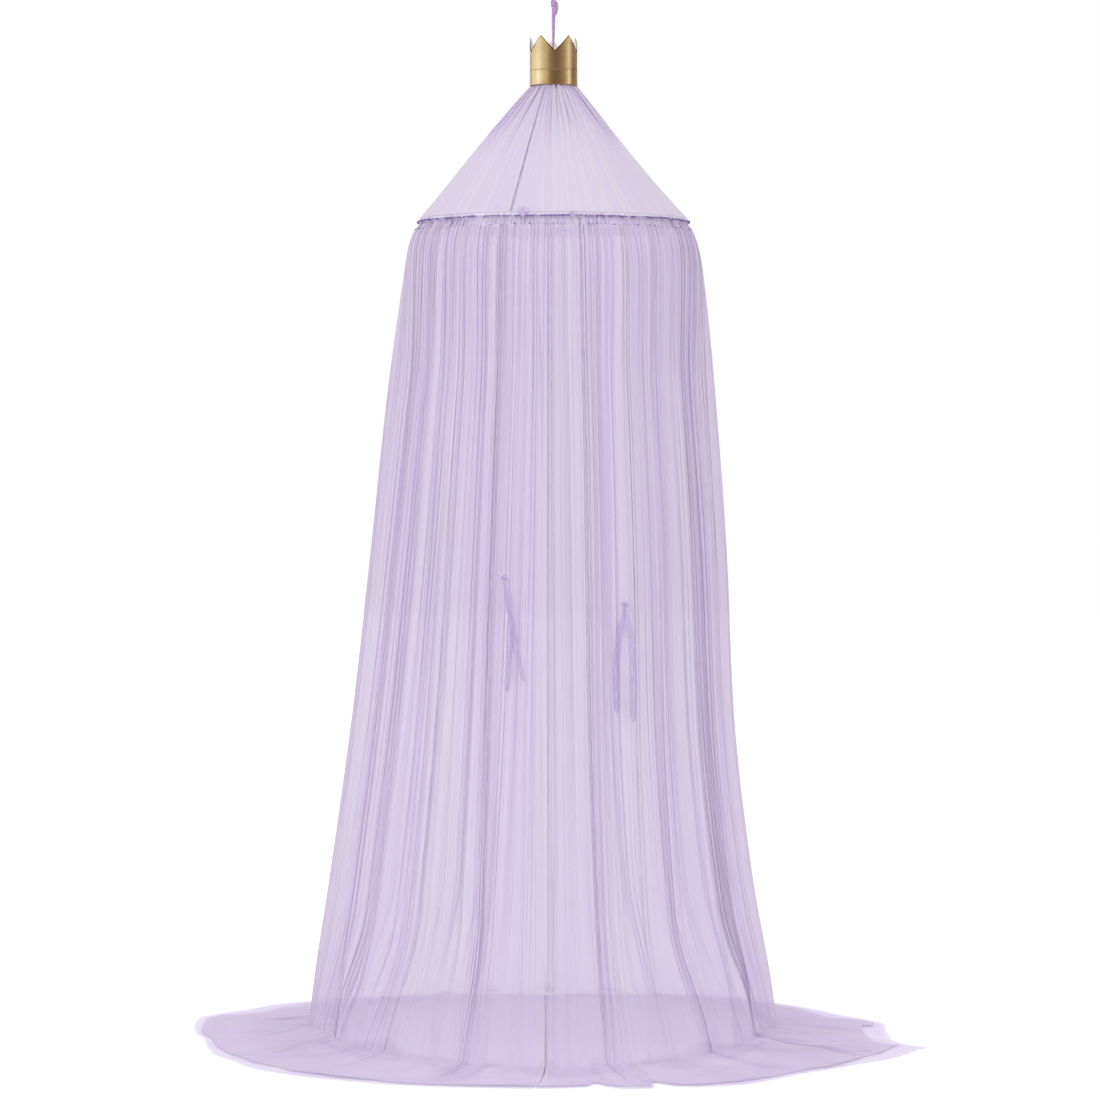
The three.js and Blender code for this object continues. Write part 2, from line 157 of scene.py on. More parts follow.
def easeTable(table, places):
    # smooth values between a table's rows, without overshoot; the first column is the place
    rows = np.array(table, float)
    if rows[0, 0] > rows[-1, 0]:
        rows = rows[::-1]
    x, y = rows[:, 0], rows[:, 1:]
    steps = np.diff(x)[:, None]
    slopes = np.diff(y, axis=0) / steps
    tangents = np.zeros_like(y)
    sums = slopes[:-1] + slopes[1:]
    tangents[1:-1] = np.where(slopes[:-1] * slopes[1:] > 0,
                              2 * slopes[:-1] * slopes[1:] / np.where(sums == 0, 1, sums), 0)
    tangents[0], tangents[-1] = slopes[0], slopes[-1]
    at = np.clip(np.asarray(places, float), x[0], x[-1])
    low = np.clip(np.searchsorted(x, at, side="right") - 1, 0, len(x) - 2)
    h = steps[low]
    u = ((at - x[low]) / h[..., 0])[..., None]
    return ((2 * u**3 - 3 * u**2 + 1) * y[low] + (u**3 - 2 * u**2 + u) * h * tangents[low]
            + (3 * u**2 - 2 * u**3) * y[low + 1] + (u**3 - u**2) * h * tangents[low + 1])


def softStep(low, high, value):
    share = np.clip((value - low) / (high - low), 0, 1)
    return share * share * (3 - 2 * share)


def newPiece(name, mesh, material):
    piece = bpy.data.objects.new(name, mesh)
    scene.collection.objects.link(piece)
    mesh.materials.clear()
    mesh.materials.append(material)
    return piece


def gridPiece(name, points, across, along, materials, finishOf=None, closed=False):
    # rows of points become quads; across and along are the cloth's own metres; finishOf gives each quad's finish
    rows, columns = points.shape[:2]
    wide = columns if closed else columns - 1
    row = np.arange(rows - 1)[:, None] * columns
    near = np.arange(wide)[None, :]
    far = (near + 1) % columns
    quads = np.stack([row + near, row + columns + near, row + columns + far, row + far], -1).reshape(-1, 4)
    mesh = bpy.data.meshes.new(name)
    mesh.vertices.add(rows * columns)
    mesh.vertices.foreach_set("co", points.reshape(-1).astype(np.float32))
    mesh.loops.add(quads.size)
    mesh.loops.foreach_set("vertex_index", quads.reshape(-1).astype(np.int32))
    mesh.polygons.add(len(quads))
    mesh.polygons.foreach_set("loop_start", np.arange(0, quads.size, 4, dtype=np.int32))
    mesh.update(calc_edges=True)
    mesh.polygons.foreach_set("use_smooth", np.ones(len(quads), bool))
    flat = np.stack([across, along], -1).reshape(-1, 2)[quads.reshape(-1)]
    if closed:  # the last column of faces runs on instead of jumping back to the start
        step = (across[0, -1] - across[0, 0]) * columns / (columns - 1)
        wrapped = (quads.reshape(-1, 4) % columns)[:, 2:] == 0
        flat = flat.reshape(-1, 4, 2)
        flat[:, 2:, 0] += np.where(wrapped, step, 0)
        flat = flat.reshape(-1, 2)
    layer = mesh.uv_layers.new(name="clothMap")
    layer.data.foreach_set("uv", flat.reshape(-1).astype(np.float32))
    # how closely the cloth is gathered here, against its spread over a stretch either side
    reach = 40
    index = np.arange(columns)
    if closed:
        ahead, behind = (index + reach) % columns, (index - reach) % columns
        after, before = (index + 1) % columns, (index - 1) % columns
    else:
        ahead, behind = np.minimum(index + reach, columns - 1), np.maximum(index - reach, 0)
        after, before = np.minimum(index + 1, columns - 1), np.maximum(index - 1, 0)
    wall = points[:, ahead] - points[:, behind]
    span = np.maximum(np.linalg.norm(wall, axis=2), 1e-9)
    step = ((points[:, after] - points[:, before]) * wall).sum(2) / span
    usual = span / (2 * reach) * 2
    gathered = np.clip(1 - np.abs(step) / usual, 0, 1)
    layer = mesh.attributes.new("gather", "FLOAT", "POINT")
    layer.data.foreach_set("value", gathered.reshape(-1).astype(np.float32))
    piece = newPiece(name, mesh, materials[0])
    for material in materials[1:]:
        mesh.materials.append(material)
    if finishOf is not None:
        mesh.polygons.foreach_set("material_index", finishOf(rows - 1, wide).reshape(-1).astype(np.int32))
    return piece


def lathePiece(name, profile, steps, material):
    # a closed outline of (radius, height) turned about the ribbon's line
    mesh = bpy.data.meshes.new(name)
    work = bmesh.new()
    rings = []
    for i in range(steps):
        turn = 2 * math.pi * i / steps
        rings.append([work.verts.new((r * math.sin(turn), -r * math.cos(turn), z)) for r, z in profile])
    count = len(profile)
    for i in range(steps):
        near, far = rings[i], rings[(i + 1) % steps]
        for j in range(count):
            k = (j + 1) % count
            work.faces.new((near[j], near[k], far[k], far[j]))
    bmesh.ops.recalc_face_normals(work, faces=work.faces)
    for face in work.faces:
        face.smooth = True
    work.to_mesh(mesh)
    work.free()
    mesh.set_sharp_from_angle(angle=math.radians(40))
    return newPiece(name, mesh, material)


# Cloth finishes

tulle = {
    "pale": linear(223, 211, 231), "deep": linear(221, 195, 245), "alpha": 0.615,
    "roughness": 0.82, "sheen": 0.12, "sheenRoughness": 0.5, "shine": 0.15,
    "netPerMetre": 700, "netTint": 0.12, "netBump": 0.15,
    "streaksPerMetre": 120, "streakShare": 0.3, "driftsPerMetre": 7, "driftShare": 0.28,
}


def makeTulle(name, alpha, pale, deep, drifts=tulle["driftShare"]):
    material, tree, shader = startMaterial(name)
    net = addNode(tree, "ShaderNodeTexVoronoi", {"Scale": tulle["netPerMetre"]}, feature="DISTANCE_TO_EDGE")
    tree.links.new(clothCoordinates(tree, (1, 1, 1)), net.inputs["Vector"])
    thread = rampOf(tree, net.outputs["Distance"], [(0.02, 1), (0.3, 0)])
    streak = addNode(tree, "ShaderNodeTexNoise", {"Scale": 1.0, "Detail": 4.0, "Roughness": 0.6})
    tree.links.new(clothCoordinates(tree, (tulle["streaksPerMetre"], 1.1, 1)), streak.inputs["Vector"])
    band = rampOf(tree, streak.outputs["Fac"], [(0.36, 0), (0.64, 1)])
    gather = addNode(tree, "ShaderNodeAttribute", attribute_name="gather")
    steep = rampOf(tree, gather.outputs["Fac"], [(0.15, 0), (0.95, 1)])
    # broad drifts of deeper colour, as where layers of the dyed net lie together
    drift = addNode(tree, "ShaderNodeTexNoise", {"Scale": 1.0, "Detail": 1.5, "Roughness": 0.5})
    tree.links.new(clothCoordinates(tree, (tulle["driftsPerMetre"], 0.5, 1)), drift.inputs["Vector"])
    broad = rampOf(tree, drift.outputs["Fac"], [(0.38, 0), (0.62, 1)])
    bunched = mixColours(tree, drifts, mixColours(tree, tulle["streakShare"], steep, band), broad)
    colour = mixColours(tree, bunched, pale, deep)
    tint = mixColours(tree, tulle["netTint"], colour, thread, "SOFT_LIGHT")
    tree.links.new(tint, shader.inputs["Base Color"])
    addBump(tree, shader, thread, tulle["netBump"], 0.0002)
    shader.inputs["Roughness"].default_value = tulle["roughness"]
    shader.inputs["Alpha"].default_value = alpha
    shader.inputs["Sheen Weight"].default_value = tulle["sheen"]
    shader.inputs["Sheen Roughness"].default_value = tulle["sheenRoughness"]
    shader.inputs["Specular IOR Level"].default_value = tulle["shine"]
    return material


satin = {"weavesPerMetre": 500.0, "weaveBump": 0.2, "cloudScale": 60.0, "roughness": 0.42, "sheen": 0.25}


def makeSatin(name, pale, deep, alpha=1.0):
    material, tree, shader = startMaterial(name)
    weave = addNode(tree, "ShaderNodeTexWave", {"Scale": satin["weavesPerMetre"], "Distortion": 1.0, "Detail": 1.0},
                    bands_direction="Y")
    tree.links.new(clothCoordinates(tree, (1, 1, 1)), weave.inputs["Vector"])
    slow = addNode(tree, "ShaderNodeTexNoise", {"Scale": satin["cloudScale"], "Detail": 2.0})
    tree.links.new(clothCoordinates(tree, (3, 1, 1)), slow.inputs["Vector"])
    colour = mixColours(tree, rampOf(tree, slow.outputs["Fac"], [(0.35, 0), (0.65, 1)]), pale, deep)
    tree.links.new(colour, shader.inputs["Base Color"])
    addBump(tree, shader, weave.outputs["Fac"], satin["weaveBump"], 0.0001)
    shader.inputs["Roughness"].default_value = satin["roughness"]
    shader.inputs["Sheen Weight"].default_value = satin["sheen"]
    shader.inputs["Alpha"].default_value = alpha
    return material


metal = {"brushScale": (60, 60, 2600), "brushedDown": 0.75, "cloudScale": 30.0}


def makeMetal(name, bright, worn, roughness, brush):
    # brass with fine marks round the crown, duller where hands have been
    material, tree, shader = startMaterial(name)
    marks = addNode(tree, "ShaderNodeTexNoise", {"Scale": 1.0, "Detail": 6.0, "Roughness": 0.7})
    tree.links.new(objectCoordinates(tree, metal["brushScale"]), marks.inputs["Vector"])
    cloud = addNode(tree, "ShaderNodeTexNoise", {"Scale": metal["cloudScale"], "Detail": 3.0})
    tree.links.new(objectCoordinates(tree, (1, 1, 1)), cloud.inputs["Vector"])
    dull = rampOf(tree, cloud.outputs["Fac"], [(0.35, 0), (0.7, 1)])
    colour = mixColours(tree, dull, bright, worn)
    line = rampOf(tree, marks.outputs["Fac"], [(0.3, metal["brushedDown"]), (0.7, 1)])
    tree.links.new(mixColours(tree, brush, colour, line, "MULTIPLY"), shader.inputs["Base Color"])
    rough = addNode(tree, "ShaderNodeMapRange", {"From Min": 0.3, "From Max": 0.7, "To Min": roughness * 0.85,
                                                 "To Max": roughness * 1.2})
    tree.links.new(marks.outputs["Fac"], rough.inputs["Value"])
    tree.links.new(rough.outputs[0], shader.inputs["Roughness"])
    addBump(tree, shader, marks.outputs["Fac"], brush, 0.0001)
    shader.inputs["Metallic"].default_value = 1.0
    return material


def makePlastic(name, colour, speck):
    material, tree, shader = startMaterial(name)
    grain = addNode(tree, "ShaderNodeTexNoise", {"Scale": 220.0, "Detail": 3.0})
    tree.links.new(objectCoordinates(tree, (1, 1, 1)), grain.inputs["Vector"])
    shade = rampOf(tree, grain.outputs["Fac"], [(0.35, 0), (0.7, 1)])
    tree.links.new(mixColours(tree, shade, colour, speck), shader.inputs["Base Color"])
    addBump(tree, shader, grain.outputs["Fac"], 0.1, 0.0001)
    shader.inputs["Roughness"].default_value = 0.35
    return material


skirtTulle = makeTulle("skirtTulle", tulle["alpha"], tulle["pale"], tulle["deep"])
floorTulle = makeTulle("floorTulle", 0.72, linear(222, 211, 234), linear(219, 193, 246), 0.45)
# a paler copy of the net for the layer folded under on the floor: painted light, lifting the shade that the upper
# layer casts on it
underTullePaintedLighter = makeTulle("underTullePaintedLighter", 0.24, linear(230, 217, 241), linear(228, 205, 243))
hemTulle = makeTulle("hemTulle", 0.6, tulle["pale"], tulle["deep"])
coneTulle = makeTulle("coneTulle", 0.62, linear(222, 214, 226), linear(200, 160, 236), 0.12)
# the casing's net runs from near white on its open stretches to deep violet where gathered; the near-white end is
# partly painted highlight for the glints on the ruffle's pleats
casingTulleAndPaintedGlints = makeTulle("casingTulleAndPaintedGlints", 0.44, linear(242, 234, 248), linear(184, 144, 218), 0.2)
ribbonSatin = makeSatin("ribbonSatin", linear(196, 160, 204), linear(158, 118, 172))
tieOrganza = makeSatin("tieOrganza", linear(206, 190, 228), linear(176, 154, 208), 0.29)
tabOrganza = makeSatin("tabOrganza", linear(226, 214, 238), linear(198, 178, 220), 0.5)
seamCloth = makeSatin("seamCloth", linear(196, 182, 214), linear(170, 152, 196), 0.6)
stitchThread = makeSatin("stitchThread", linear(138, 104, 178), linear(108, 76, 150))
brushedGold = makeMetal("brushedGold", linear(208, 182, 132), linear(192, 162, 112), 0.26, 0.5)
edgeGold = makeMetal("edgeGold", linear(58, 40, 26), linear(44, 30, 20), 0.45, 0.3)
polishedGold = makeMetal("polishedGold", linear(206, 181, 130), linear(188, 160, 110), 0.1, 0.2)
# pale cream for the inside faces of the crown's shell
paleCreamInside = makePlastic("paleCreamInside", linear(244, 238, 228), linear(228, 219, 204))
hoopPlastic = makePlastic("hoopPlastic", linear(240, 238, 243), linear(228, 226, 233))


# Ribbon and ties, each along its own line in the part

ribbon = {"width": 0.008, "thickness": 0.0008, "twistDegrees": 58}
ribbonLine = [(0, 0, -0.0863), (0, 0, -0.254)]
loopLine = [
    (0, -0.0008, -0.0677), (0, -0.00127, -0.05263), (0, -0.00173, -0.03757), (0, -0.0022, -0.0225),
    (0, -0.00203, -0.0214), (0, -0.00156, -0.02046), (0, -0.00084, -0.01983), (0, 0, -0.01961),
    (0, 0.00084, -0.01983), (0, 0.00156, -0.02046), (0, 0.00203, -0.0214), (0, 0.0022, -0.0225),
    (0, 0.00173, -0.03757), (0, 0.00127, -0.05263), (0, 0.0008, -0.0677),
]
ties = {
    "leftTie1": {"body": "left_tie", "node": "left_tie_strand_1", "width": 0.0108, "curl": 0.5, "line": [
        (-0.1071, -0.32676, -1.36026), (-0.1071, -0.32676, -1.36626), (-0.10461, -0.32841, -1.38247),
        (-0.10202, -0.32995, -1.39877), (-0.09841, -0.33072, -1.41611), (-0.0934, -0.33066, -1.43432),
        (-0.09, -0.33046, -1.45396), (-0.09054, -0.33041, -1.48121), (-0.09376, -0.3304, -1.51052),
        (-0.09706, -0.33059, -1.54036), (-0.10097, -0.33101, -1.57114), (-0.105, -0.33145, -1.602)]},
    "leftTie2": {"body": "left_tie", "node": "left_tie_strand_2", "width": 0.0108, "curl": -0.6, "line": [
        (-0.1071, -0.32816, -1.36026), (-0.1071, -0.32816, -1.36626), (-0.1032, -0.33231, -1.38243),
        (-0.09934, -0.33618, -1.39871), (-0.09567, -0.3381, -1.4161), (-0.09224, -0.33794, -1.43445),
        (-0.0888, -0.33746, -1.45396), (-0.08473, -0.33746, -1.47966), (-0.08045, -0.33746, -1.50661),
        (-0.07543, -0.33746, -1.5311), (-0.06973, -0.33746, -1.55351), (-0.0639, -0.33746, -1.57577)]},
    "rightTie1": {"body": "right_tie", "node": "right_tie_strand_1", "width": 0.0165, "curl": 0.35, "line": [
        (0.1551, -0.30736, -1.41947), (0.1551, -0.30736, -1.42547), (0.15066, -0.309, -1.44147),
        (0.14638, -0.31054, -1.45769), (0.14292, -0.31135, -1.47688), (0.1404, -0.31128, -1.49927),
        (0.1386, -0.31106, -1.52254), (0.13725, -0.31106, -1.5486), (0.1366, -0.31106, -1.57519),
        (0.13658, -0.31106, -1.59998), (0.13724, -0.31106, -1.62316), (0.138, -0.31106, -1.64623)]},
    "rightTie2": {"body": "right_tie", "node": "right_tie_strand_2", "width": 0.0165, "curl": -0.35, "line": [
        (0.1551, -0.30876, -1.41947), (0.1551, -0.30876, -1.42547), (0.15956, -0.31289, -1.44144),
        (0.16385, -0.31675, -1.45766), (0.16718, -0.31878, -1.47679), (0.1694, -0.3186, -1.49898),
        (0.171, -0.31806, -1.52254), (0.17234, -0.31806, -1.55188), (0.1731, -0.31806, -1.58252),
        (0.17363, -0.31806, -1.61154), (0.17384, -0.31806, -1.63924), (0.174, -0.31806, -1.66684)]},
}


def finerLine(line, count):
    # evenly spaced points along a polyline
    line = np.array(line, float)
    run = np.concatenate([[0], np.cumsum(np.linalg.norm(np.diff(line, axis=0), axis=1))])
    places = np.linspace(0, run[-1], count)
    return np.stack([np.interp(places, run, line[:, i]) for i in range(3)], 1), places


def ribbonPiece(name, line, width, thickness, angleAt, bowAt, material, count=48):
    # a soft strap; angleAt turns its width about its line, bowAt cups it, and width may vary along it
    points, run = finerLine(line, count)
    along = np.gradient(points, axis=0)
    along /= np.linalg.norm(along, axis=1)[:, None]
    shares = run / run[-1]
    angles = np.array([angleAt(share) for share in shares])
    across = np.stack([np.cos(angles), np.sin(angles), np.zeros(count)], 1)
    across -= along * (across * along).sum(1)[:, None]
    across /= np.linalg.norm(across, axis=1)[:, None]
    out = np.cross(along, across)
    loop = []
    for side in (1, -1):
        for u in np.linspace(-1, 1, 7) * side:
            loop.append((u, side))
    rows, flatU, flatV = [], [], []
    for i in range(count):
        bow = bowAt(shares[i])
        half = (width(shares[i]) if callable(width) else width) / 2
        ring = [points[i] + across[i] * u * half
                + out[i] * (side * thickness / 2 + bow * (1 - u * u) - bow / 2) for u, side in loop]
        rows.append(ring)
        flatU.append([u * half for u, side in loop])
        flatV.append([run[i]] * len(loop))
    mesh = bpy.data.meshes.new(name)
    work = bmesh.new()
    layer = work.loops.layers.uv.new("clothMap")
    rings = [[work.verts.new(p) for p in ring] for ring in rows]
    size = len(loop)
    for i in range(count - 1):
        for j in range(size):
            k = (j + 1) % size
            face = work.faces.new((rings[i][j], rings[i][k], rings[i + 1][k], rings[i + 1][j]))
            places = ((i, j), (i, k), (i + 1, k), (i + 1, j))
            for corner, (a, b) in zip(face.loops, places):
                corner[layer].uv = (flatU[a][b], flatV[a][b])
    for ring in (rings[0], rings[-1]):
        work.faces.new(ring)
    bmesh.ops.recalc_face_normals(work, faces=work.faces)
    for face in work.faces:
        face.smooth = len(face.verts) == 4
    work.to_mesh(mesh)
    work.free()
    mesh.set_sharp_from_angle(angle=math.radians(50))
    return newPiece(name, mesh, material)


def makeRibbons():
    twist = math.radians(ribbon["twistDegrees"])
    hanging = ribbonPiece("hangingRibbon", ribbonLine, ribbon["width"], ribbon["thickness"],
                          lambda s: twist * float(softStep(0.05, 0.5, s)), lambda s: 0.0008, ribbonSatin, 60)
    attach(hanging, "canopy")
    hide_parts("hanging_ribbon")
    loop = ribbonPiece("ribbonLoop", loopLine, ribbon["width"], ribbon["thickness"],
                       lambda s: 0.0, lambda s: 0.0, ribbonSatin, 80)
    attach(loop, "hanger")
    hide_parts("ribbon_loop")


def makeTies():
    for name, tie in ties.items():
        def widthAt(share):  # pinched into the knot, and cut to a narrow tip
            pinched = tie["width"] * (0.45 + 0.55 * float(softStep(0, 0.22, share)))
            return pinched * (1 - 0.7 * float(softStep(0.95, 1, share)))

        def curlAt(share):
            return tie["curl"] * math.sin(share * 5.2) * float(softStep(0.02, 0.2, share))

        def cupAt(share):
            return 0.0012 * float(softStep(0, 0.15, share))

        strand = ribbonPiece(name, tie["line"], widthAt, 0.0006, curlAt, cupAt, tieOrganza, 56)
        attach(strand, tie["body"])
        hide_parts(tie["node"])


ribbonEnd = {  # the ribbon's turned-back end lies against its right side just under the knot
    "line": [(0.004, 0.0009, -0.074), (0.0062, 0.001, -0.080), (0.0068, 0.0011, -0.088),
             (0.0058, 0.001, -0.096), (0.0035, 0.0009, -0.103), (0.0018, 0.0008, -0.1075)],
    "width": 0.0085, "taper": 0.006, "thickness": 0.0012, "twist": 0.12, "cup": 0.0006,
}
knots = {
    "ribbonKnot": {"body": "hanger", "node": "ribbon_knot", "centre": (0, 0, -0.0773), "size": (0.015, 0.009, 0.018),
                   "bands": (24, -32), "finish": ribbonSatin, "seed": 5},
    "leftTieKnot": {"body": "left_curtain", "node": "left_tie_knot", "centre": (-0.1071, -0.3275, -1.352),
                    "size": (0.014, 0.007, 0.016), "bands": (68,), "finish": tieOrganza, "seed": 6},
    "rightTieKnot": {"body": "right_curtain", "node": "right_tie_knot", "centre": (0.1551, -0.3081, -1.4112),
                     "size": (0.014, 0.007, 0.016), "bands": (80,), "finish": tieOrganza, "seed": 7},
}


def joinedPiece(name, grids, material):
    # closed or open grids of points gathered in one mesh, each with its own flat map
    mesh = bpy.data.meshes.new(name)
    work = bmesh.new()
    layer = work.loops.layers.uv.new("clothMap")
    for points, wrapRows, wrapColumns in grids:
        rows, columns = points.shape[:2]
        verts = [[work.verts.new(points[i, j]) for j in range(columns)] for i in range(rows)]
        for i in range(rows if wrapRows else rows - 1):
            for j in range(columns if wrapColumns else columns - 1):
                a, b = (i + 1) % rows, (j + 1) % columns
                face = work.faces.new((verts[i][j], verts[i][b], verts[a][b], verts[a][j]))
                for corner, (u, v) in zip(face.loops, ((j, i), (j + 1, i), (j + 1, i + 1), (j, i + 1))):
                    corner[layer].uv = (u * 0.001, v * 0.001)
    bmesh.ops.remove_doubles(work, verts=work.verts, dist=1e-6)
    bmesh.ops.recalc_face_normals(work, faces=work.faces)
    for face in work.faces:
        face.smooth = True
    work.to_mesh(mesh)
    work.free()
    mesh.set_sharp_from_angle(angle=math.radians(50))
    return newPiece(name, mesh, material)


def knotGrids(knot):
    # a soft creased lump with bands of ribbon wound over it
    source = np.random.default_rng(knot["seed"])
    centre, size = np.array(knot["centre"]), np.array(knot["size"]) / 2
    up = np.linspace(-math.pi / 2, math.pi / 2, 25)[:, None]
    turn = np.linspace(0, 2 * math.pi, 41)[:-1][None, :]
    phases = source.uniform(0, 6.28, 3)
    slanting, level = np.sin(5 * turn + 3 * up + phases[0]), np.sin(9 * up + 2 * turn + phases[1])
    crease = 1 - 0.07 * (1 + slanting) - 0.05 * (1 + level)
    girth = np.abs(np.cos(up)) ** 0.75
    lump = np.stack([size[0] * girth * np.cos(turn) * crease, size[1] * girth * np.sin(turn) * crease,
                     size[2] * np.sin(up) * crease], -1) * 0.93
    grids = [(lump + centre, False, True)]
    for degrees in knot["bands"]:
        tilt = math.radians(degrees)
        ringTurn = np.linspace(0, 2 * math.pi, 49)[:-1]
        across = np.array([math.cos(tilt), 0, math.sin(tilt)])
        along = np.array([-math.sin(tilt), 0, math.cos(tilt)])
        loops = []
        for angle in ringTurn:
            out = along * math.cos(angle) + np.array([0, 1, 0]) * math.sin(angle)
            reach = 1 / math.sqrt((out[0] / size[0]) ** 2 + (out[1] / size[1]) ** 2 + (out[2] / size[2]) ** 2)
            middle = centre + out * reach * 0.95
            width = 0.3 * size[0] * (1 + 0.15 * math.sin(3 * angle + phases[2]))
            ring = [middle + across * width * u + out * lift for u, lift in
                    ((-1, 0), (-0.8, 0.0004), (0, 0.0007), (0.8, 0.0004), (1, 0), (0, -0.0002))]
            loops.append(ring)
        grids.append((np.array(loops), True, True))
    return grids


def makeKnots():
    for name, knot in knots.items():
        piece = joinedPiece(name, knotGrids(knot), knot["finish"])
        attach(piece, knot["body"])
        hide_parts(knot["node"])
    fold = ribbonPiece("ribbonFold", ribbonEnd["line"], lambda s: ribbonEnd["width"] - ribbonEnd["taper"] * s ** 3,
                       ribbonEnd["thickness"], lambda s: ribbonEnd["twist"], lambda s: ribbonEnd["cup"],
                       ribbonSatin, 40)
    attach(fold, "hanger")


makeRibbons()
makeTies()
makeKnots()
print("ribbon, ties and knots laid")


# Crown: a shell with points over a polished collar

# the last size is how far the dark brown band reaches down from the points' top edges
crown = {"radius": 0.0535, "wall": 0.0015, "foot": -0.2277, "tip": -0.153, "notchShare": 0.46, "points": 5,
         "turn": 0.061, "steps": 32, "rows": 40, "edgeRound": 0.00025, "darkRim": 0.0016}
collar = {"outer": 0.0535, "inner": 0.052, "seam": -0.228, "foot": -0.262, "steps": 168}


class NodeTree:
    # builds one Geometry Nodes tree, with named sizes as its inputs
    def __init__(self, name, takesPath=False):
        self.group = bpy.data.node_groups.new(name, "GeometryNodeTree")
        if takesPath:
            self.group.interface.new_socket("Path", in_out="INPUT", socket_type="NodeSocketGeometry")
        self.group.interface.new_socket("Geometry", in_out="OUTPUT", socket_type="NodeSocketGeometry")
        self.start = self.group.nodes.new("NodeGroupInput")
        self.end = self.group.nodes.new("NodeGroupOutput")

    def size(self, name, kind="NodeSocketFloat"):
        self.group.interface.new_socket(name, in_out="INPUT", socket_type=kind)
        return self.start.outputs[name]

    def node(self, kind, inputs=None, **settings):
        node = self.group.nodes.new(kind)
        for key, value in settings.items():
            setattr(node, key, value)
        for key, value in (inputs or {}).items():
            if isinstance(value, bpy.types.NodeSocket):
                self.group.links.new(value, node.inputs[key])
            else:
                node.inputs[key].default_value = value
        return node

    def math(self, operation, first, second=0.0):
        return self.node("ShaderNodeMath", {0: first, 1: second}, operation=operation).outputs[0]

    def finish(self, geometry, material):
        real = self.node("GeometryNodeRealizeInstances", {"Geometry": geometry})
        dressed = self.node("GeometryNodeSetMaterial", {"Geometry": real.outputs[0], "Material": material})
        self.group.links.new(dressed.outputs[0], self.end.inputs[0])


def treePiece(name, tree, sizes, modifiers=(), path=(), closed=False):
    # runs a tree on a bare path with the given sizes and keeps the result as plain mesh
    route = bpy.data.meshes.new(name + "Maker")
    edges = [(i, i + 1) for i in range(len(path) - 1)] + ([(len(path) - 1, 0)] if closed else [])
    route.from_pydata([tuple(p) for p in path], edges, [])
    carrier = bpy.data.objects.new(name + "Maker", route)
    scene.collection.objects.link(carrier)
    maker = carrier.modifiers.new("nodes", "NODES")
    maker.node_group = tree.group
    for item in tree.group.interface.items_tree:
        if item.in_out == "INPUT" and item.name in sizes:
            maker[item.identifier] = sizes[item.name]
    for kind, settings in modifiers:
        step = carrier.modifiers.new(kind.lower(), kind)
        for key, value in settings.items():
            setattr(step, key, value)
    ready = carrier.evaluated_get(bpy.context.evaluated_depsgraph_get())
    mesh = bpy.data.meshes.new_from_object(ready)
    mesh.name = name
    bpy.data.objects.remove(carrier)
    finish = [material for material in mesh.materials if material is not None][0]
    return newPiece(name, mesh, finish)


def crownTree():
    tree = NodeTree("crownPoints")
    radius, foot, tip, notch, start = (tree.size(n) for n in ("Radius", "Foot", "Tip", "Notch", "Turn"))
    points, steps, rows = (tree.size(n, "NodeSocketInt") for n in ("Points", "Steps", "Rows"))
    columns = tree.math("ADD", tree.math("MULTIPLY", points, steps), 1)
    grid = tree.node("GeometryNodeMeshGrid", {"Size X": 1.0, "Size Y": 1.0, "Vertices X": columns,
                                              "Vertices Y": rows})
    place = tree.node("ShaderNodeSeparateXYZ", {0: tree.node("GeometryNodeInputPosition").outputs[0]})
    turnShare = tree.math("ADD", place.outputs[0], 0.5)
    climb = tree.math("ADD", place.outputs[1], 0.5)
    inPoint = tree.math("FRACT", tree.math("ADD", tree.math("MULTIPLY", turnShare, points), 0.0001))
    fall = tree.math("ABSOLUTE", tree.math("SUBTRACT", tree.math("MULTIPLY", inPoint, 2.0), 1.0))
    top = tree.math("SUBTRACT", tip, tree.math("MULTIPLY", fall, tree.math("SUBTRACT", tip, notch)))
    height = tree.math("ADD", foot, tree.math("MULTIPLY", climb, tree.math("SUBTRACT", top, foot)))
    turn = tree.math("ADD", tree.math("MULTIPLY", turnShare, 2 * math.pi), start)
    across = tree.math("MULTIPLY", radius, tree.math("SINE", turn))
    front = tree.math("MULTIPLY", tree.math("MULTIPLY", radius, tree.math("COSINE", turn)), -1.0)
    spot = tree.node("ShaderNodeCombineXYZ", {0: across, 1: front, 2: height})
    bent = tree.node("GeometryNodeSetPosition", {"Geometry": grid.outputs[0], "Position": spot.outputs[0]})
    closed = tree.node("GeometryNodeMergeByDistance", {"Geometry": bent.outputs[0], "Distance": 0.00001})
    smooth = tree.node("GeometryNodeSetShadeSmooth", {"Geometry": closed.outputs[0]})
    tree.finish(smooth.outputs[0], brushedGold)
    return tree


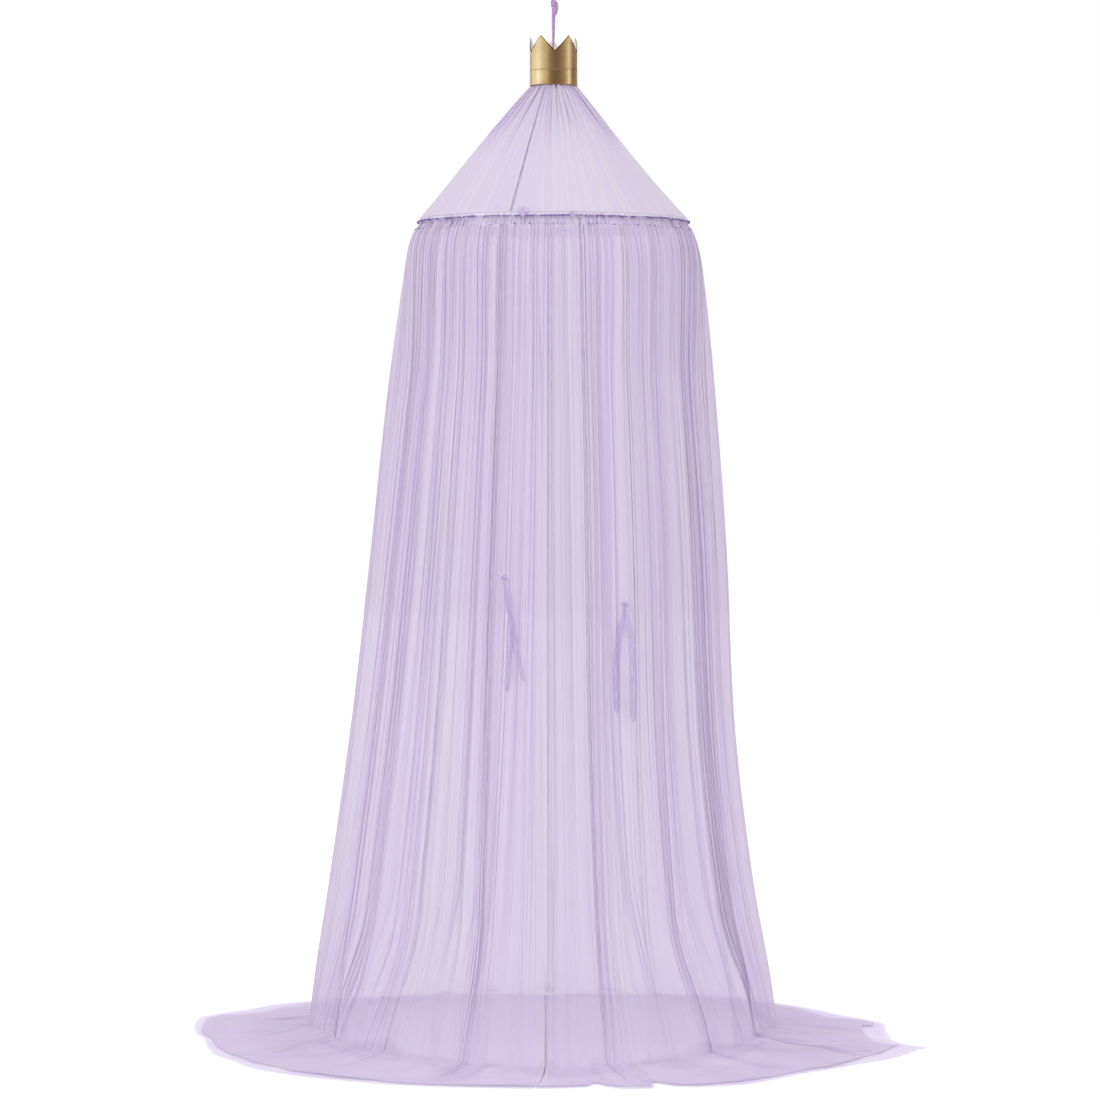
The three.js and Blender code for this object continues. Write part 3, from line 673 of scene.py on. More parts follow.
def makeCrown():
    notch = crown["tip"] - crown["notchShare"] * (crown["tip"] - crown["foot"])
    shell = treePiece("crownShell", crownTree(),
                      {"Radius": crown["radius"], "Foot": crown["foot"], "Tip": crown["tip"], "Notch": notch,
                       "Turn": crown["turn"], "Points": crown["points"], "Steps": crown["steps"],
                       "Rows": crown["rows"]},
                      (("SOLIDIFY", {"thickness": crown["wall"], "offset": -1}),
                       ("BEVEL", {"width": crown["edgeRound"], "segments": 2, "limit_method": "ANGLE",
                                  "angle_limit": math.radians(40)})))
    # pale cream inside, and dark brown metal on the cut edges of the points and in a thin band along their top edges
    shell.data.materials.append(paleCreamInside)
    shell.data.materials.append(edgeGold)
    pitch = 2 * math.pi / crown["points"]
    slope = (crown["tip"] - notch) / (pitch / 2 * crown["radius"])
    for face in shell.data.polygons:  # the cut edges face neither in nor out
        out = Vector((face.center.x, face.center.y, 0)).normalized()
        facing = face.normal.dot(out)
        turn = math.atan2(face.center.x, -face.center.y) - crown["turn"]
        fall = abs(turn / pitch % 1 * 2 - 1)
        rim = (crown["tip"] - fall * (crown["tip"] - notch) - face.center.z) / math.hypot(1, slope)
        # the outside is dark brown in a thin band along each point's top edge
        if facing > 0.6:
            face.material_index = 2 if rim < crown["darkRim"] else 0
        elif facing < -0.6:
            face.material_index = 1
        else:
            face.material_index = 0 if face.normal.z < -0.5 else 2
    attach(shell, "crown")
    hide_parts("crown_shell")
    print("crownShell", len(shell.data.polygons), "faces", [round(v, 4) for v in shell.dimensions])


def makeCollar():
    # a rolled lip at the foot, the shelf for the disc inside, and a rounded band at the seam
    outer, inner, top, foot = collar["outer"], collar["inner"], collar["seam"], collar["foot"]
    profile = [(outer + 0.0002, foot + 0.0012), (outer + 0.0009, foot + 0.0008), (outer + 0.0010, foot),
               (outer + 0.0004, foot - 0.0006), (inner, foot - 0.0004), (inner, -0.2354), (inner - 0.003, -0.2328),
               (inner - 0.003, -0.2308), (inner, -0.2308), (inner, top), (outer + 0.0001, top),
               (outer + 0.0007, top - 0.0004), (outer + 0.0009, top - 0.0012), (outer + 0.0007, top - 0.0020),
               (outer + 0.0002, top - 0.0024)]
    band = lathePiece("crownCollar", profile, collar["steps"], polishedGold)
    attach(band, "crown")
    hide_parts("crown_collar")
    disc = bpy.data.objects["crown_disc"]
    for slot in disc.material_slots:
        slot.material = polishedGold


rings = {
    "ring": {"centre": (0, 0, -0.0105), "radius": 0.012, "wire": 0.0015},
    "hoop": {"centre": (0, 0, -0.566), "radius": 0.3, "wire": 0.004},
}
binding = {"outer": 0.0164, "inner": 0.0163, "bulge": 0.0014, "turns": 5, "foot": -0.2527, "top": -0.2385,
           "height": 0.0142, "rows": 60, "steps": 64}


def torusPiece(name, centre, axis, ring, wire, steps, sides, material):
    turn = np.linspace(0, 2 * math.pi, steps + 1)[:-1][:, None]
    roll = np.linspace(0, 2 * math.pi, sides + 1)[:-1][None, :]
    reach = ring + wire * np.cos(roll) + 0 * turn
    a, b, c = reach * np.sin(turn), reach * np.cos(turn), wire * np.sin(roll) + 0 * turn
    points = np.stack([a, b, c], -1) if axis == "up" else np.stack([a, c, b], -1)
    return joinedPiece(name, [(points + np.array(centre), True, True)], material)


def makeRings():
    size = rings["ring"]
    ring = torusPiece("hangingRing", size["centre"], "front", size["radius"], size["wire"], 96, 20, polishedGold)
    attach(ring, "hanger")
    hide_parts("hanging_ring")
    size = rings["hoop"]
    hoop = torusPiece("hoopRod", size["centre"], "up", size["radius"], size["wire"], 240, 16, hoopPlastic)
    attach(hoop, "canopy")
    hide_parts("hoop")


def makeBinding():
    # turns of ribbon drawn tight round the gathered neck
    outline = []
    for k in range(binding["rows"] + 1):
        bulge = binding["bulge"] * abs(math.sin(math.pi * binding["turns"] * k / binding["rows"]))
        outline.append((binding["outer"] + bulge, binding["foot"] + binding["height"] * k / binding["rows"]))
    outline += [(binding["inner"], binding["top"]), (binding["inner"], binding["foot"])]
    wound = lathePiece("neckBinding", outline, binding["steps"], ribbonSatin)
    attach(wound, "canopy")
    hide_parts("neck_binding")


makeCrown()
makeCollar()
makeRings()
makeBinding()
print("crown and rings made")


# Skirt: one sheet all the way round, from under the casing down the wall and out over the floor

skirt = {
    "hoopRadius": 0.300,
    "topHeight": 1.8685,
    "foldDepth": 0.015,
    "poolRidge": 0.012,
    # share of the height, then of the hoop's radius on the left, right and front, and of the fold depth
    "outline": [
        [1, 1.0, 1.0, 1.0, 0.06], [0.9925, 1.048, 1.045, 1.03, 0.16], [0.9682, 1.102, 1.102, 1.07, 0.34],
        [0.9438, 1.126, 1.13, 1.085, 0.42], [0.7958, 1.26, 1.23, 1.107, 0.58], [0.6005, 1.397, 1.325, 1.12, 0.7],
        [0.4051, 1.54, 1.385, 1.133, 0.78], [0.2098, 1.712, 1.525, 1.158, 0.88], [0.0637, 1.85, 1.685, 1.24, 0.95],
        [0.01874, 1.88, 1.72, 1.36, 1],
    ],
    "pool": {"left": 2.81, "right": 2.85, "front": 1.53, "tuckFront": 0.32, "tuckUnder": 0.72},
    # the hem against that ellipse: bearing in degrees from the front, to the right, and share
    "hem": [
        (-180, 1.08), (-160, 1.13), (-138, 1.157), (-130, 1.12), (-121, 1.13), (-114, 1.088), (-107, 1.04),
        (-99, .994), (-92, .957), (-84, .947), (-76, .95), (-68, .96), (-60, .962), (-53, .988), (-44, 1),
        (-34, 1.01), (-20, 1.013), (-11, 1.006), (1, .998), (4.5, .985), (6, .93), (7.5, .99), (10, 1.03),
        (13.5, 1.03), (15.5, .94), (17.5, 1.01), (21, 1.045), (26, 1.045), (33, 1.0), (41, .955), (51, .945),
        (60, .963), (69, .983), (77, .992), (80, 1.012), (84, .95), (92, .91), (100, .92), (108, .951),
        (116, .99), (126, .985), (135, 1.02), (144, 1.074), (160, 1.12), (180, 1.08),
    ],
    # folds of each size: how many round the hoop, depth at the top, middle and foot, overlap at those, seed
    "folds": [
        {"count": 19, "depth": (0.001, 0.004, 0.006), "overlap": (0.0, 0.006, 0.012), "seed": 31},
        {"count": 33, "depth": (0.001, 0.003, 0.0045), "overlap": (0.01, 0.01, 0.01), "seed": 3},
        {"count": 67, "depth": (0.001, 0.002, 0.003), "overlap": (0.05, 0.022, 0.017), "seed": 5},
        {"count": 127, "depth": (0.0012, 0.002, 0.002), "overlap": (0.16, 0.095, 0.068), "seed": 8},
        {"count": 211, "depth": (0.0016, 0.0012, 0.0008), "overlap": (0.18, 0.15, 0.112), "seed": 13},
    ],
    # how closely those folds stand: bearing in degrees from the front, and share
    "closeness": [(-180, 0.9), (-130, 1.2), (-92, 0.9), (-55, 1.3), (-22, 0.95), (0, 0.88), (22, 0.9), (52, 1.35),
                  (92, 1.0), (130, 1.2), (180, 0.9)],
    # looser bunches that form towards the floor: how many, and how far they draw in
    "bunches": [
        {"count": 7, "draw": (0.00, 0.015, 0.03), "seed": 21},
        {"count": 13, "draw": (0.00, 0.015, 0.03), "seed": 22},
    ],
    "sweep": 0.30,
    "sideFin": 0.030,
    "columns": 3140,
    "slitCentre": -0.030, "slitTop": 0.002, "slitFloor": 0.003, "slitPool": 0.001,
    "sideTurn": math.radians(78),
    "backTurn": math.radians(146),
    "fullness": 2.2,  # the cloth's own way round against the hoop's, for the scale of its net
    # each panel's cut before it was gathered, width and length in metres
    "cuts": {"skirtLeft": (0.95, 2.6), "skirtBack": (1.1, 2.9), "skirtRight": (1.0, 2.4), "curtainLeft": (1.05, 2.6),
             "curtainRight": (1.05, 2.6)},
}


def planOf(turn, left, right, front, inset):
    half = np.where(np.sin(turn) < 0, left, right) - inset
    return half * np.sin(turn), -(front - inset) * np.cos(turn)


def bigFold(turn):
    drift = 0.8 * np.sin(3 * turn + 1) + 0.5 * np.sin(7 * turn)
    return (0.78 + 0.22 * np.sin(5 * turn + 2)) * (1 - np.cos(26 * turn + drift)) / 2


def bearingTable(table, turn):
    degrees = np.degrees(np.mod(turn + math.pi, 2 * math.pi) - math.pi)
    return easeTable(table, degrees)[..., 0]


for bunch in skirt["bunches"]:
    bunch["lean"] = wander(bunch["seed"], 1, 5)
    bunch["drift"] = wander(bunch["seed"] + 100, 1, 6)
for fold in skirt["folds"]:
    fold["warp"] = wander(fold["seed"], 2, max(4, fold["count"] // 3))
    fold["drift"] = wander(fold["seed"] + 100, 1, 9)
    fold["strength"] = wander(fold["seed"] + 200, 3, max(6, fold["count"] // 4))
sway = wander(41, 3, 17)
swayLow = wander(43, 5, 31)
poolBump = wander(47, 9, 33)
poolBump2 = wander(48, 4, 19)


def edgeTable(seed, count, low, high):
    # straight stretches between random reaches, as cloth laid over in flat folds has them
    source = np.random.default_rng(seed)
    places = np.sort(source.uniform(-180, 180, count))
    reaches = source.uniform(low, high, count)
    places = np.concatenate([[places[-1] - 360], places, [places[0] + 360]])
    reaches = np.concatenate([[reaches[-1]], reaches, [reaches[0]]])
    return lambda turn: np.interp(np.degrees(np.mod(turn + math.pi, 2 * math.pi) - math.pi), places, reaches)


upperEdge = edgeTable(59, 34, 0.78, 0.985)


def byHeight(values, down):
    # top, middle and foot values eased along the drop
    top, middle, foot = values
    return top + (middle - top) * softStep(0, 0.28, down) + (foot - middle) * softStep(0.35, 1, down)


def clothFolds(turn, down):
    # the cloth's shifted bearing and its extra inset, for rows of turn at each share of the drop
    moved = turn + 0.006 * sway(turn) * softStep(0.05, 1, down) + 0.010 * swayLow(turn) * softStep(0.45, 1, down)
    moved += skirt["sweep"] * np.sin(2 * turn) * np.abs(np.sin(turn)) * softStep(0.84, 1.06, down)  # out at the foot
    for bunch in skirt["bunches"]:
        angle = bunch["count"] * turn + bunch["lean"](turn) + 0.9 * bunch["drift"](turn) * down
        moved += byHeight(bunch["draw"], down) * (2 * math.pi / bunch["count"]) * np.sin(angle)
    inset = np.zeros_like(turn)
    shift = np.zeros_like(turn)
    close = bearingTable(skirt["closeness"], turn)
    for fold in skirt["folds"]:
        angle = fold["count"] * turn + 1.7 * fold["warp"](turn) + 1.6 * fold["drift"](turn) * down
        strength = np.clip(0.9 + 0.3 * fold["strength"](turn), 0.4, 1.2)
        inset += byHeight(fold["depth"], down) * strength * (1 - np.cos(angle)) / 2
        reach = byHeight(fold["overlap"], down) * strength * close * (2 * math.pi / fold["count"])
        shift += reach * np.sin(2 * angle)
    return moved + shift * (1 - 0.4 * softStep(0.9, 1, down)), inset


def sideFin(turn, down):
    # one narrow fold stands out at each side, and the rest of the wall lies a little further in
    return np.exp(-((np.abs(turn) - math.pi / 2 - 0.05 * np.sin(3 * down)) / 0.11) ** 2)


wallRows = np.concatenate([np.linspace(0, 0.07, 11)[:-1], np.linspace(0.07, 1, 47)])
# rows on the floor run out, back under and out again, closer at both turned edges, which shade as sharp creases
outRows = 1 - (1 - np.linspace(0, 1, 22)[1:]) ** 1.8
backRows = 1.5 - np.cos(np.linspace(0, math.pi, 30)[1:]) / 2
hemRows = np.concatenate([2 + np.linspace(0, 1, 34)[1:-1] ** 1.4, [2.985, 3]])
poolRows = np.concatenate([outRows, backRows, hemRows])
wallCount = len(wallRows)
upperCount = wallCount + len(outRows)  # the wall and the uppermost layer on the floor


def skirtPoints(turns, tucked):
    # turns holds a row of bearings for each row of the cloth; tucked cloth reaches in under the canopy
    radius = skirt["hoopRadius"]
    down = np.concatenate([wallRows, np.ones(len(poolRows))])[:, None] + np.zeros_like(turns)
    bearing, inset = clothFolds(turns, down)
    heightShare = 1 + (skirt["outline"][-1][0] - 1) * wallRows
    outline = easeTable(skirt["outline"], heightShare)
    left, right, front, fold = [outline[:, i][:, None] for i in range(4)]
    fin = sideFin(bearing, down)
    dip = bigFold(bearing) * (1 - fin)
    draw = skirt["sideFin"] * softStep(0.0, 0.2, down) * (1 - fin)
    wall, low = slice(0, wallCount), slice(wallCount, None)
    wallInset = fold * skirt["foldDepth"] * dip[wall] + inset[wall] * (1 - 0.8 * fin[wall])
    x, y = planOf(bearing[wall], left * radius - draw[wall], right * radius - draw[wall], front * radius, wallInset)
    z = heightShare[:, None] * skirt["topHeight"] + np.zeros_like(x)
    base = outline[-1]
    # floor: the sheet runs out, folds back under itself to inside the wall, and runs out again to its hem
    turn = turns[wallCount:]
    baseX, baseY = planOf(bearing[low], base[0] * radius - draw[low], base[1] * radius - draw[low],
                          base[2] * radius, base[3] * skirt["foldDepth"] * dip[low] + inset[low])
    stage = poolRows[:, None] + np.zeros_like(turn)
    edge = upperEdge(bearing[low])
    inside = -1.02 + 0.03 * poolBump2(turn) + 0.02 * poolBump(turn)
    way = np.where(stage <= 1, stage * edge,
                   np.where(stage <= 2, edge + (inside - edge) * (stage - 1), inside + (1 - inside) * (stage - 2)))
    calm = turn + (bearing[low] - turn) * (1 - 0.7 * softStep(0.1, 0.9, way)) * np.where(stage <= 1.2, 1, 0.5)
    pool = skirt["pool"]
    spread = bearingTable(skirt["hem"], turn)
    hemX, hemY = planOf(calm, pool["left"] * spread * radius, pool["right"] * spread * radius,
                        pool["front"] * spread * radius, 0)
    inward, outward = np.maximum(-way, 0), np.maximum(way, 0)
    if tucked:
        half = np.where(baseX < 0, base[0], base[1]) * radius
        insideX = baseX * 0.93
        insideY = -pool["tuckFront"] * np.sqrt(np.clip(1 - (baseX / half) ** 2, 0, 1)) * (1 + 0.04 * poolBump(turn))
    else:
        insideX, insideY = baseX * pool["tuckUnder"], baseY * pool["tuckUnder"]
    poolX = baseX + (insideX - baseX) * inward + (hemX - baseX) * outward
    poolY = baseY + (insideY - baseY) * inward + (hemY - baseY) * outward
    foot = skirt["outline"][-1][0] * skirt["topHeight"]
    ridge = skirt["poolRidge"] * (1 - dip[low])
    upper = foot * (0.14 + 0.86 * np.exp(-outward / 0.2)) + ridge * (1 - 0.85 * outward) \
        + 0.0012 * poolBump(turn + 0.5 * outward) * softStep(0.08, 0.3, outward)
    under = 0.004 + 0.0008 * poolBump2(turn) + 0.0005 * poolBump(turn + 0.3 * way) \
        + 0.004 * np.maximum(poolBump(turn + 1.4 * inward), 0) * softStep(0, 0.3, inward)
    last = 0.0016 + 0.0006 * poolBump(turn + 0.7 * way)
    upper = under + (upper - under) * (1 - 0.85 * softStep(0.55, 1, stage))
    poolZ = np.where(stage <= 1, upper, np.where(stage <= 2, upper + (under - upper) * softStep(1, 1.14, stage),
                                                 under + (last - under) * softStep(2, 2.15, stage)))
    x = np.concatenate([x, poolX])
    y = np.concatenate([y, poolY])
    z = np.concatenate([z, np.maximum(poolZ, 0.001)])
    return np.stack([x, y, z + floorLevel], -1)


def skirtFinish(rows, columns):
    # the layer that lies between is the thinnest net, painted paler to lift the shade that the layer over it casts,
    # and the hem is turned over twice
    finish = np.zeros((rows, columns), int)
    finish[upperCount:upperCount + len(backRows)] = 1
    finish[upperCount + len(backRows):] = 2
    finish[-1] = 3
    return finish


def clothPiece(name, turns, tucked):
    points = skirtPoints(turns, tucked)
    steps = np.linalg.norm(np.diff(points, axis=0), axis=2).mean(1)
    along = np.concatenate([[0], np.cumsum(steps)])[:, None] + np.zeros_like(turns)
    across = turns * skirt["hoopRadius"] * skirt["fullness"]
    piece = gridPiece(name, points, across, along, (skirtTulle, underTullePaintedLighter, floorTulle, hemTulle),
                      skirtFinish)
    print(name, len(piece.data.polygons) * 2, "triangles,", round(pieceArea(piece), 2), "m2,",
          round(float(along[-1, 0]), 2), "m long")
    return piece


def slitTurns(side):
    # the bearing of a curtain's free edge at each row
    radius = skirt["hoopRadius"]
    heightShare = 1 + (skirt["outline"][-1][0] - 1) * wallRows
    left = easeTable(skirt["outline"], heightShare)[:, 0] * radius
    half = (skirt["slitTop"] + (skirt["slitFloor"] - skirt["slitTop"]) * wallRows) / 2
    left = np.concatenate([left, np.full(len(poolRows), left[-1])])
    pooled = skirt["slitPool"] + (skirt["slitFloor"] - skirt["slitPool"]) * np.exp(-poolRows / 0.3)
    half = np.concatenate([half, pooled / 2])
    return np.arcsin((skirt["slitCentre"] + side * half) / left)


def pieceArea(piece):
    return sum(face.area for face in piece.data.polygons)


def makeSkirt():
    side = skirt["sideTurn"]
    rows = wallCount + len(poolRows)
    back = skirt["backTurn"]
    spans = {"skirtLeft": ("skirt_left", -back, -side), "skirtRight": ("skirt_right", side, back),
             "skirtBack": ("skirt_back", back, 2 * math.pi - back)}
    for name, (node, first, last) in spans.items():
        count = int(skirt["columns"] * (last - first) / (2 * math.pi))
        turns = np.linspace(first, last, count)[None, :] + np.zeros((rows, 1))
        piece = clothPiece(name, turns, True)
        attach(piece, "canopy")
        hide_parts(node)
    curtains = {
        "curtainLeft": ("curtain_left", "left_curtain", np.full(rows, -side), slitTurns(-1), (-0.30, -0.12)),
        "curtainRight": ("curtain_right", "right_curtain", slitTurns(1), np.full(rows, side), (0.30, 0.17)),
    }
    for name, (node, body, first, last, reach) in curtains.items():
        count = int(skirt["columns"] * float((last - first).mean()) / (2 * math.pi))
        shares = np.linspace(0, 1, count)[None, :]
        turns = first[:, None] + (last - first)[:, None] * shares
        piece = clothPiece(name, turns, False)
        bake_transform(piece)
        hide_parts(node)


makeSkirt()
print("skirt hung")


# Cone: gathered in the crown, smooth at the hoop

cone = {
    "footHeight": 1.8798, "rise": 0.2982, "neckTop": 2.202, "neckFoot": 2.186,
    # share of the hoop's radius, share of the rise
    "outline": [[0, 1.006], [0.29, 0.77], [0.517, 0.588], [0.823, 0.333], [0.967, 0.205], [0.9985, 0.1733]],
    "columns": 1500,
    "pleats": [
        {"count": 37, "depth": 0.007, "overlap": 0.22, "seed": 71, "from": 0.40},
        {"count": 61, "depth": 0.003, "overlap": 0.16, "seed": 72, "from": 0.25},
        {"count": 103, "depth": 0.0012, "overlap": 0.09, "seed": 73, "from": 0.0},
    ],
    "sagRight": 0.009,
    "cut": (1.9, 0.42), "cutArea": 0.62,  # cut as a fan of gores that narrow towards the crown
}


def makeCone():
    rise = np.linspace(0, 0.9985, 52)
    turns = np.linspace(-math.pi, math.pi, cone["columns"] + 1)[:-1][None, :] + np.zeros((len(rise), 1))
    share = rise[:, None] + np.zeros_like(turns)
    radius = easeTable(cone["outline"], rise)[:, 0][:, None] * skirt["hoopRadius"]
    inset = np.zeros_like(turns)
    shift = np.zeros_like(turns)
    for pleat in cone["pleats"]:
        warp = wander(pleat["seed"], 2, pleat["count"] // 4)
        gather = softStep(pleat["from"], 1.05, share)
        strength = np.clip(0.7 + 0.5 * wander(pleat["seed"] + 50, 3, pleat["count"] // 3)(turns), 0.05, 1.7)
        angle = pleat["count"] * turns + warp(turns)
        inset += pleat["depth"] * gather * strength * (1 - np.cos(angle)) / 2
        shift += pleat["overlap"] * gather * strength * (2 * math.pi / pleat["count"]) * np.sin(2 * angle)
    reach = radius - inset - cone["sagRight"] * np.maximum(np.sin(turns), 0) * np.sin(math.pi * share)
    x, y = reach * np.sin(turns + shift), -reach * np.cos(turns + shift)
    z = cone["footHeight"] + share * cone["rise"] + floorLevel
    points = np.stack([x, y, z], -1)
    # the gathered end goes up inside the crown to its binding
    ends = []
    for height, size in ((cone["neckFoot"] - 0.004, 0.030), (cone["neckFoot"], 0.0165), (cone["neckTop"], 0.0145)):
        squeeze = size / radius[-1]
        ends.append(np.stack([x[-1] * squeeze, y[-1] * squeeze, np.full_like(x[-1], height + floorLevel)], -1))
    points = np.concatenate([points, np.stack(ends)])[::-1]
    turns = np.zeros((len(points), 1)) + turns[:1]
    steps = np.linalg.norm(np.diff(points, axis=0), axis=2).mean(1)
    along = np.concatenate([[0], np.cumsum(steps)])[:, None] + np.zeros_like(turns)
    piece = gridPiece("coneCloth", points, turns * skirt["hoopRadius"], along, (coneTulle,), closed=True)
    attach(piece, "canopy")
    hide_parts("cone_cloth")
    print("coneCloth", len(piece.data.polygons) * 2, "triangles,", round(pieceArea(piece), 3), "m2")


makeCone()
print("cone draped")


# Casing folded over the hoop, with its ruffle, tabs, the cone's seam and the stitches

casing = {
    "height": -0.5669, "tube": 0.0058, "ruffleFoot": -0.5868, "flare": 0.011, "columns": 1600,
    "gathers": [(113, 0.0007, 0.12, 81), (197, 0.0005, 0.12, 82)],
    "cut": (2.6, 0.065), "metresPerRadian": 0.414,  # the second is for the scale of its net
    # rows of stitches: height, radius, how many, length, thickness, share left out, seed
    "rows": [(-0.5683, 0.3074, 300, 0.0042, 0.0016, 0.08, 11), (-0.5704, 0.3076, 280, 0.0032, 0.0012, 0.50, 12),
             (-0.5862, 0.3130, 230, 0.0036, 0.0010, 0.65, 13)],
}
seam = {
    "line": [(-0.09359, -0.28819, -0.5587), (-0.07172, -0.22085, -0.47282), (-0.05485, -0.16892, -0.40513),
             (-0.03123, -0.09616, -0.31388), (-0.01937, -0.05963, -0.27094)],
    "width": 0.0034, "thickness": 0.0009, "stitches": 120,
}


def makeCasing():
    turns = np.linspace(-math.pi, math.pi, casing["columns"] + 1)[:-1][None, :]
    # outline as (radius, height, how loose): ruffle foot, up, over the hoop, and down inside
    rows = [(0.3018, casing["ruffleFoot"], 1.0), (0.3017, casing["ruffleFoot"] + 0.005, 0.85),
            (0.3016, casing["ruffleFoot"] + 0.010, 0.6), (0.3022, casing["height"] - 0.0068, 0.35)]
    for k in range(15):
        roll = math.pi * (0.80 - 1.6 * k / 14)
        rows.append((skirt["hoopRadius"] + casing["tube"] * math.sin(roll),
                     casing["height"] + casing["tube"] * math.cos(roll), 0.2))
    rows += [(0.2988, casing["height"] - 0.0068, 0.3), (0.2986, casing["ruffleFoot"] + 0.008, 0.5),
             (0.2984, casing["ruffleFoot"] + 0.0004, 0.7)]
    table = np.array(rows)
    loose = table[:, 2][:, None]
    outside = (np.arange(len(rows)) < 9)[:, None]
    radius = table[:, 0][:, None] + casing["flare"] * np.maximum(loose - 0.3, 0) * outside + 0 * turns
    shift = 0 * radius
    for count, depth, overlap, seed in casing["gathers"]:
        angle = count * turns + 1.4 * wander(seed, 3, 29)(turns)
        strength = np.clip(0.9 + 0.5 * wander(seed + 9, 3, 31)(turns), 0.1, 1.8)
        radius = radius + depth * strength * np.cos(angle) * (0.35 + 2.2 * loose) * outside
        shift = shift + overlap * strength * (2 * math.pi / count) * np.sin(2 * angle) * (0.4 + loose)
    height = table[:, 1][:, None] + 0.0009 * loose * wander(90, 9, 60)(turns)
    points = np.stack([radius * np.sin(turns + shift), -radius * np.cos(turns + shift), height], -1)
    steps = np.linalg.norm(np.diff(points, axis=0), axis=2).mean(1)
    along = np.concatenate([[0], np.cumsum(steps)])[:, None] + 0 * turns
    across = (turns + 0 * along) * casing["metresPerRadian"]
    piece = gridPiece("hoopCasing", points, across, along, (casingTulleAndPaintedGlints,), closed=True)
    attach(piece, "canopy")
    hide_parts("hoop_casing")
    print("hoopCasing", len(piece.data.polygons) * 2, "triangles,", round(pieceArea(piece), 3), "m2")


def stitchTree():
    tree = NodeTree("stitchRow", True)
    length, thickness, missing, jitter = (tree.size(n) for n in ("Length", "Thickness", "Missing", "Jitter"))
    count, seed = (tree.size(n, "NodeSocketInt") for n in ("Count", "Seed"))
    path = tree.node("GeometryNodeMeshToCurve", {"Mesh": tree.start.outputs["Path"]})
    spaced = tree.node("GeometryNodeResampleCurve", {"Curve": path.outputs[0], "Count": count})
    spots = tree.node("GeometryNodeCurveToPoints", {"Curve": spaced.outputs[0]}, mode="EVALUATED")
    chance = tree.node("FunctionNodeRandomValue", {2: 0.0, 3: 1.0, "Seed": seed}, data_type="FLOAT")
    gone = tree.node("FunctionNodeCompare", {0: chance.outputs[1], 1: missing}, data_type="FLOAT",
                     operation="LESS_THAN")
    kept = tree.node("GeometryNodeDeleteGeometry", {"Geometry": spots.outputs["Points"],
                                                    "Selection": gone.outputs[0]})
    stray = tree.node("FunctionNodeRandomValue", {2: -1.0, 3: 1.0, "Seed": tree.math("ADD", seed, 7)},
                      data_type="FLOAT")
    lift = tree.node("ShaderNodeCombineXYZ", {2: tree.math("MULTIPLY", stray.outputs[1], jitter)})
    moved = tree.node("GeometryNodeSetPosition", {"Geometry": kept.outputs[0], "Offset": lift.outputs[0]})
    stitch = tree.node("GeometryNodeMeshCylinder", {"Vertices": 6, "Radius": thickness, "Depth": length})
    size = tree.node("FunctionNodeRandomValue", {2: 0.5, 3: 1.3, "Seed": tree.math("ADD", seed, 3)},
                     data_type="FLOAT")
    stitches = tree.node("GeometryNodeInstanceOnPoints", {
        "Points": moved.outputs[0], "Instance": stitch.outputs[0], "Rotation": spots.outputs["Rotation"],
        "Scale": size.outputs[1]})
    tree.finish(stitches.outputs[0], stitchThread)
    return tree


def makeStitches():
    tree = stitchTree()
    rows = {}
    for index, (height, radius, count, length, thickness, missing, seed) in enumerate(casing["rows"]):
        turn = np.linspace(0, 2 * math.pi, 241)[:-1]
        line = [(radius * math.sin(t), -radius * math.cos(t), height + 0.0006 * math.sin(9 * t + index))
                for t in turn]
        rows["casingStitches%d" % (index + 1)] = (line, True, count, length, thickness, missing, 0.0006, seed)
    raised = [(x * 1.004, y * 1.004, z + 0.0006) for x, y, z in seam["line"]]
    rows["seamStitches"] = (raised, False, seam["stitches"], 0.0016, 0.0002, 0.05, 0.0, 14)
    for name, (line, closed, count, length, thickness, missing, jitter, seed) in rows.items():
        piece = treePiece(name, tree, {"Count": count, "Length": length, "Thickness": thickness, "Missing": missing,
                                       "Jitter": jitter, "Seed": seed}, path=line, closed=closed)
        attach(piece, "canopy")


# bearing in radians, height of the loop, and width along it
tabs = {"hoopTab1": ("hoop_tab_1", math.radians(-12.5), 0.0215, lambda s: 0.0085 + 0.010 * math.sin(math.pi * s)),
        "hoopTab2": ("hoop_tab_2", math.radians(7.5), 0.0125, lambda s: 0.0105)}


def makeTrim():
    facing = math.atan2(seam["line"][0][0], -seam["line"][0][1])
    strip = ribbonPiece("coneSeam", seam["line"], seam["width"], seam["thickness"], lambda s: facing,
                        lambda s: 0.0005, seamCloth, 60)
    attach(strip, "canopy")
    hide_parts("cone_seam")
    for name, (node, turn, rise, width) in tabs.items():
        out = np.array([math.sin(turn), -math.cos(turn), 0])
        line = []
        for share in np.linspace(0, 1, 15):
            up = rise * math.sin(math.pi * share) ** 0.6
            line.append(tuple(out * (0.3074 - 0.0015 * math.cos(math.pi * share)) + np.array([0, 0, -0.5716 + up])))
        tab = ribbonPiece(name, line, width, 0.0003, lambda s: turn, lambda s: 0.0006, tabOrganza, 40)
        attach(tab, "canopy")
        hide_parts(node)


makeCasing()
makeStitches()
makeTrim()
print("casing, stitches and trim made")


# Floor, backdrop and light

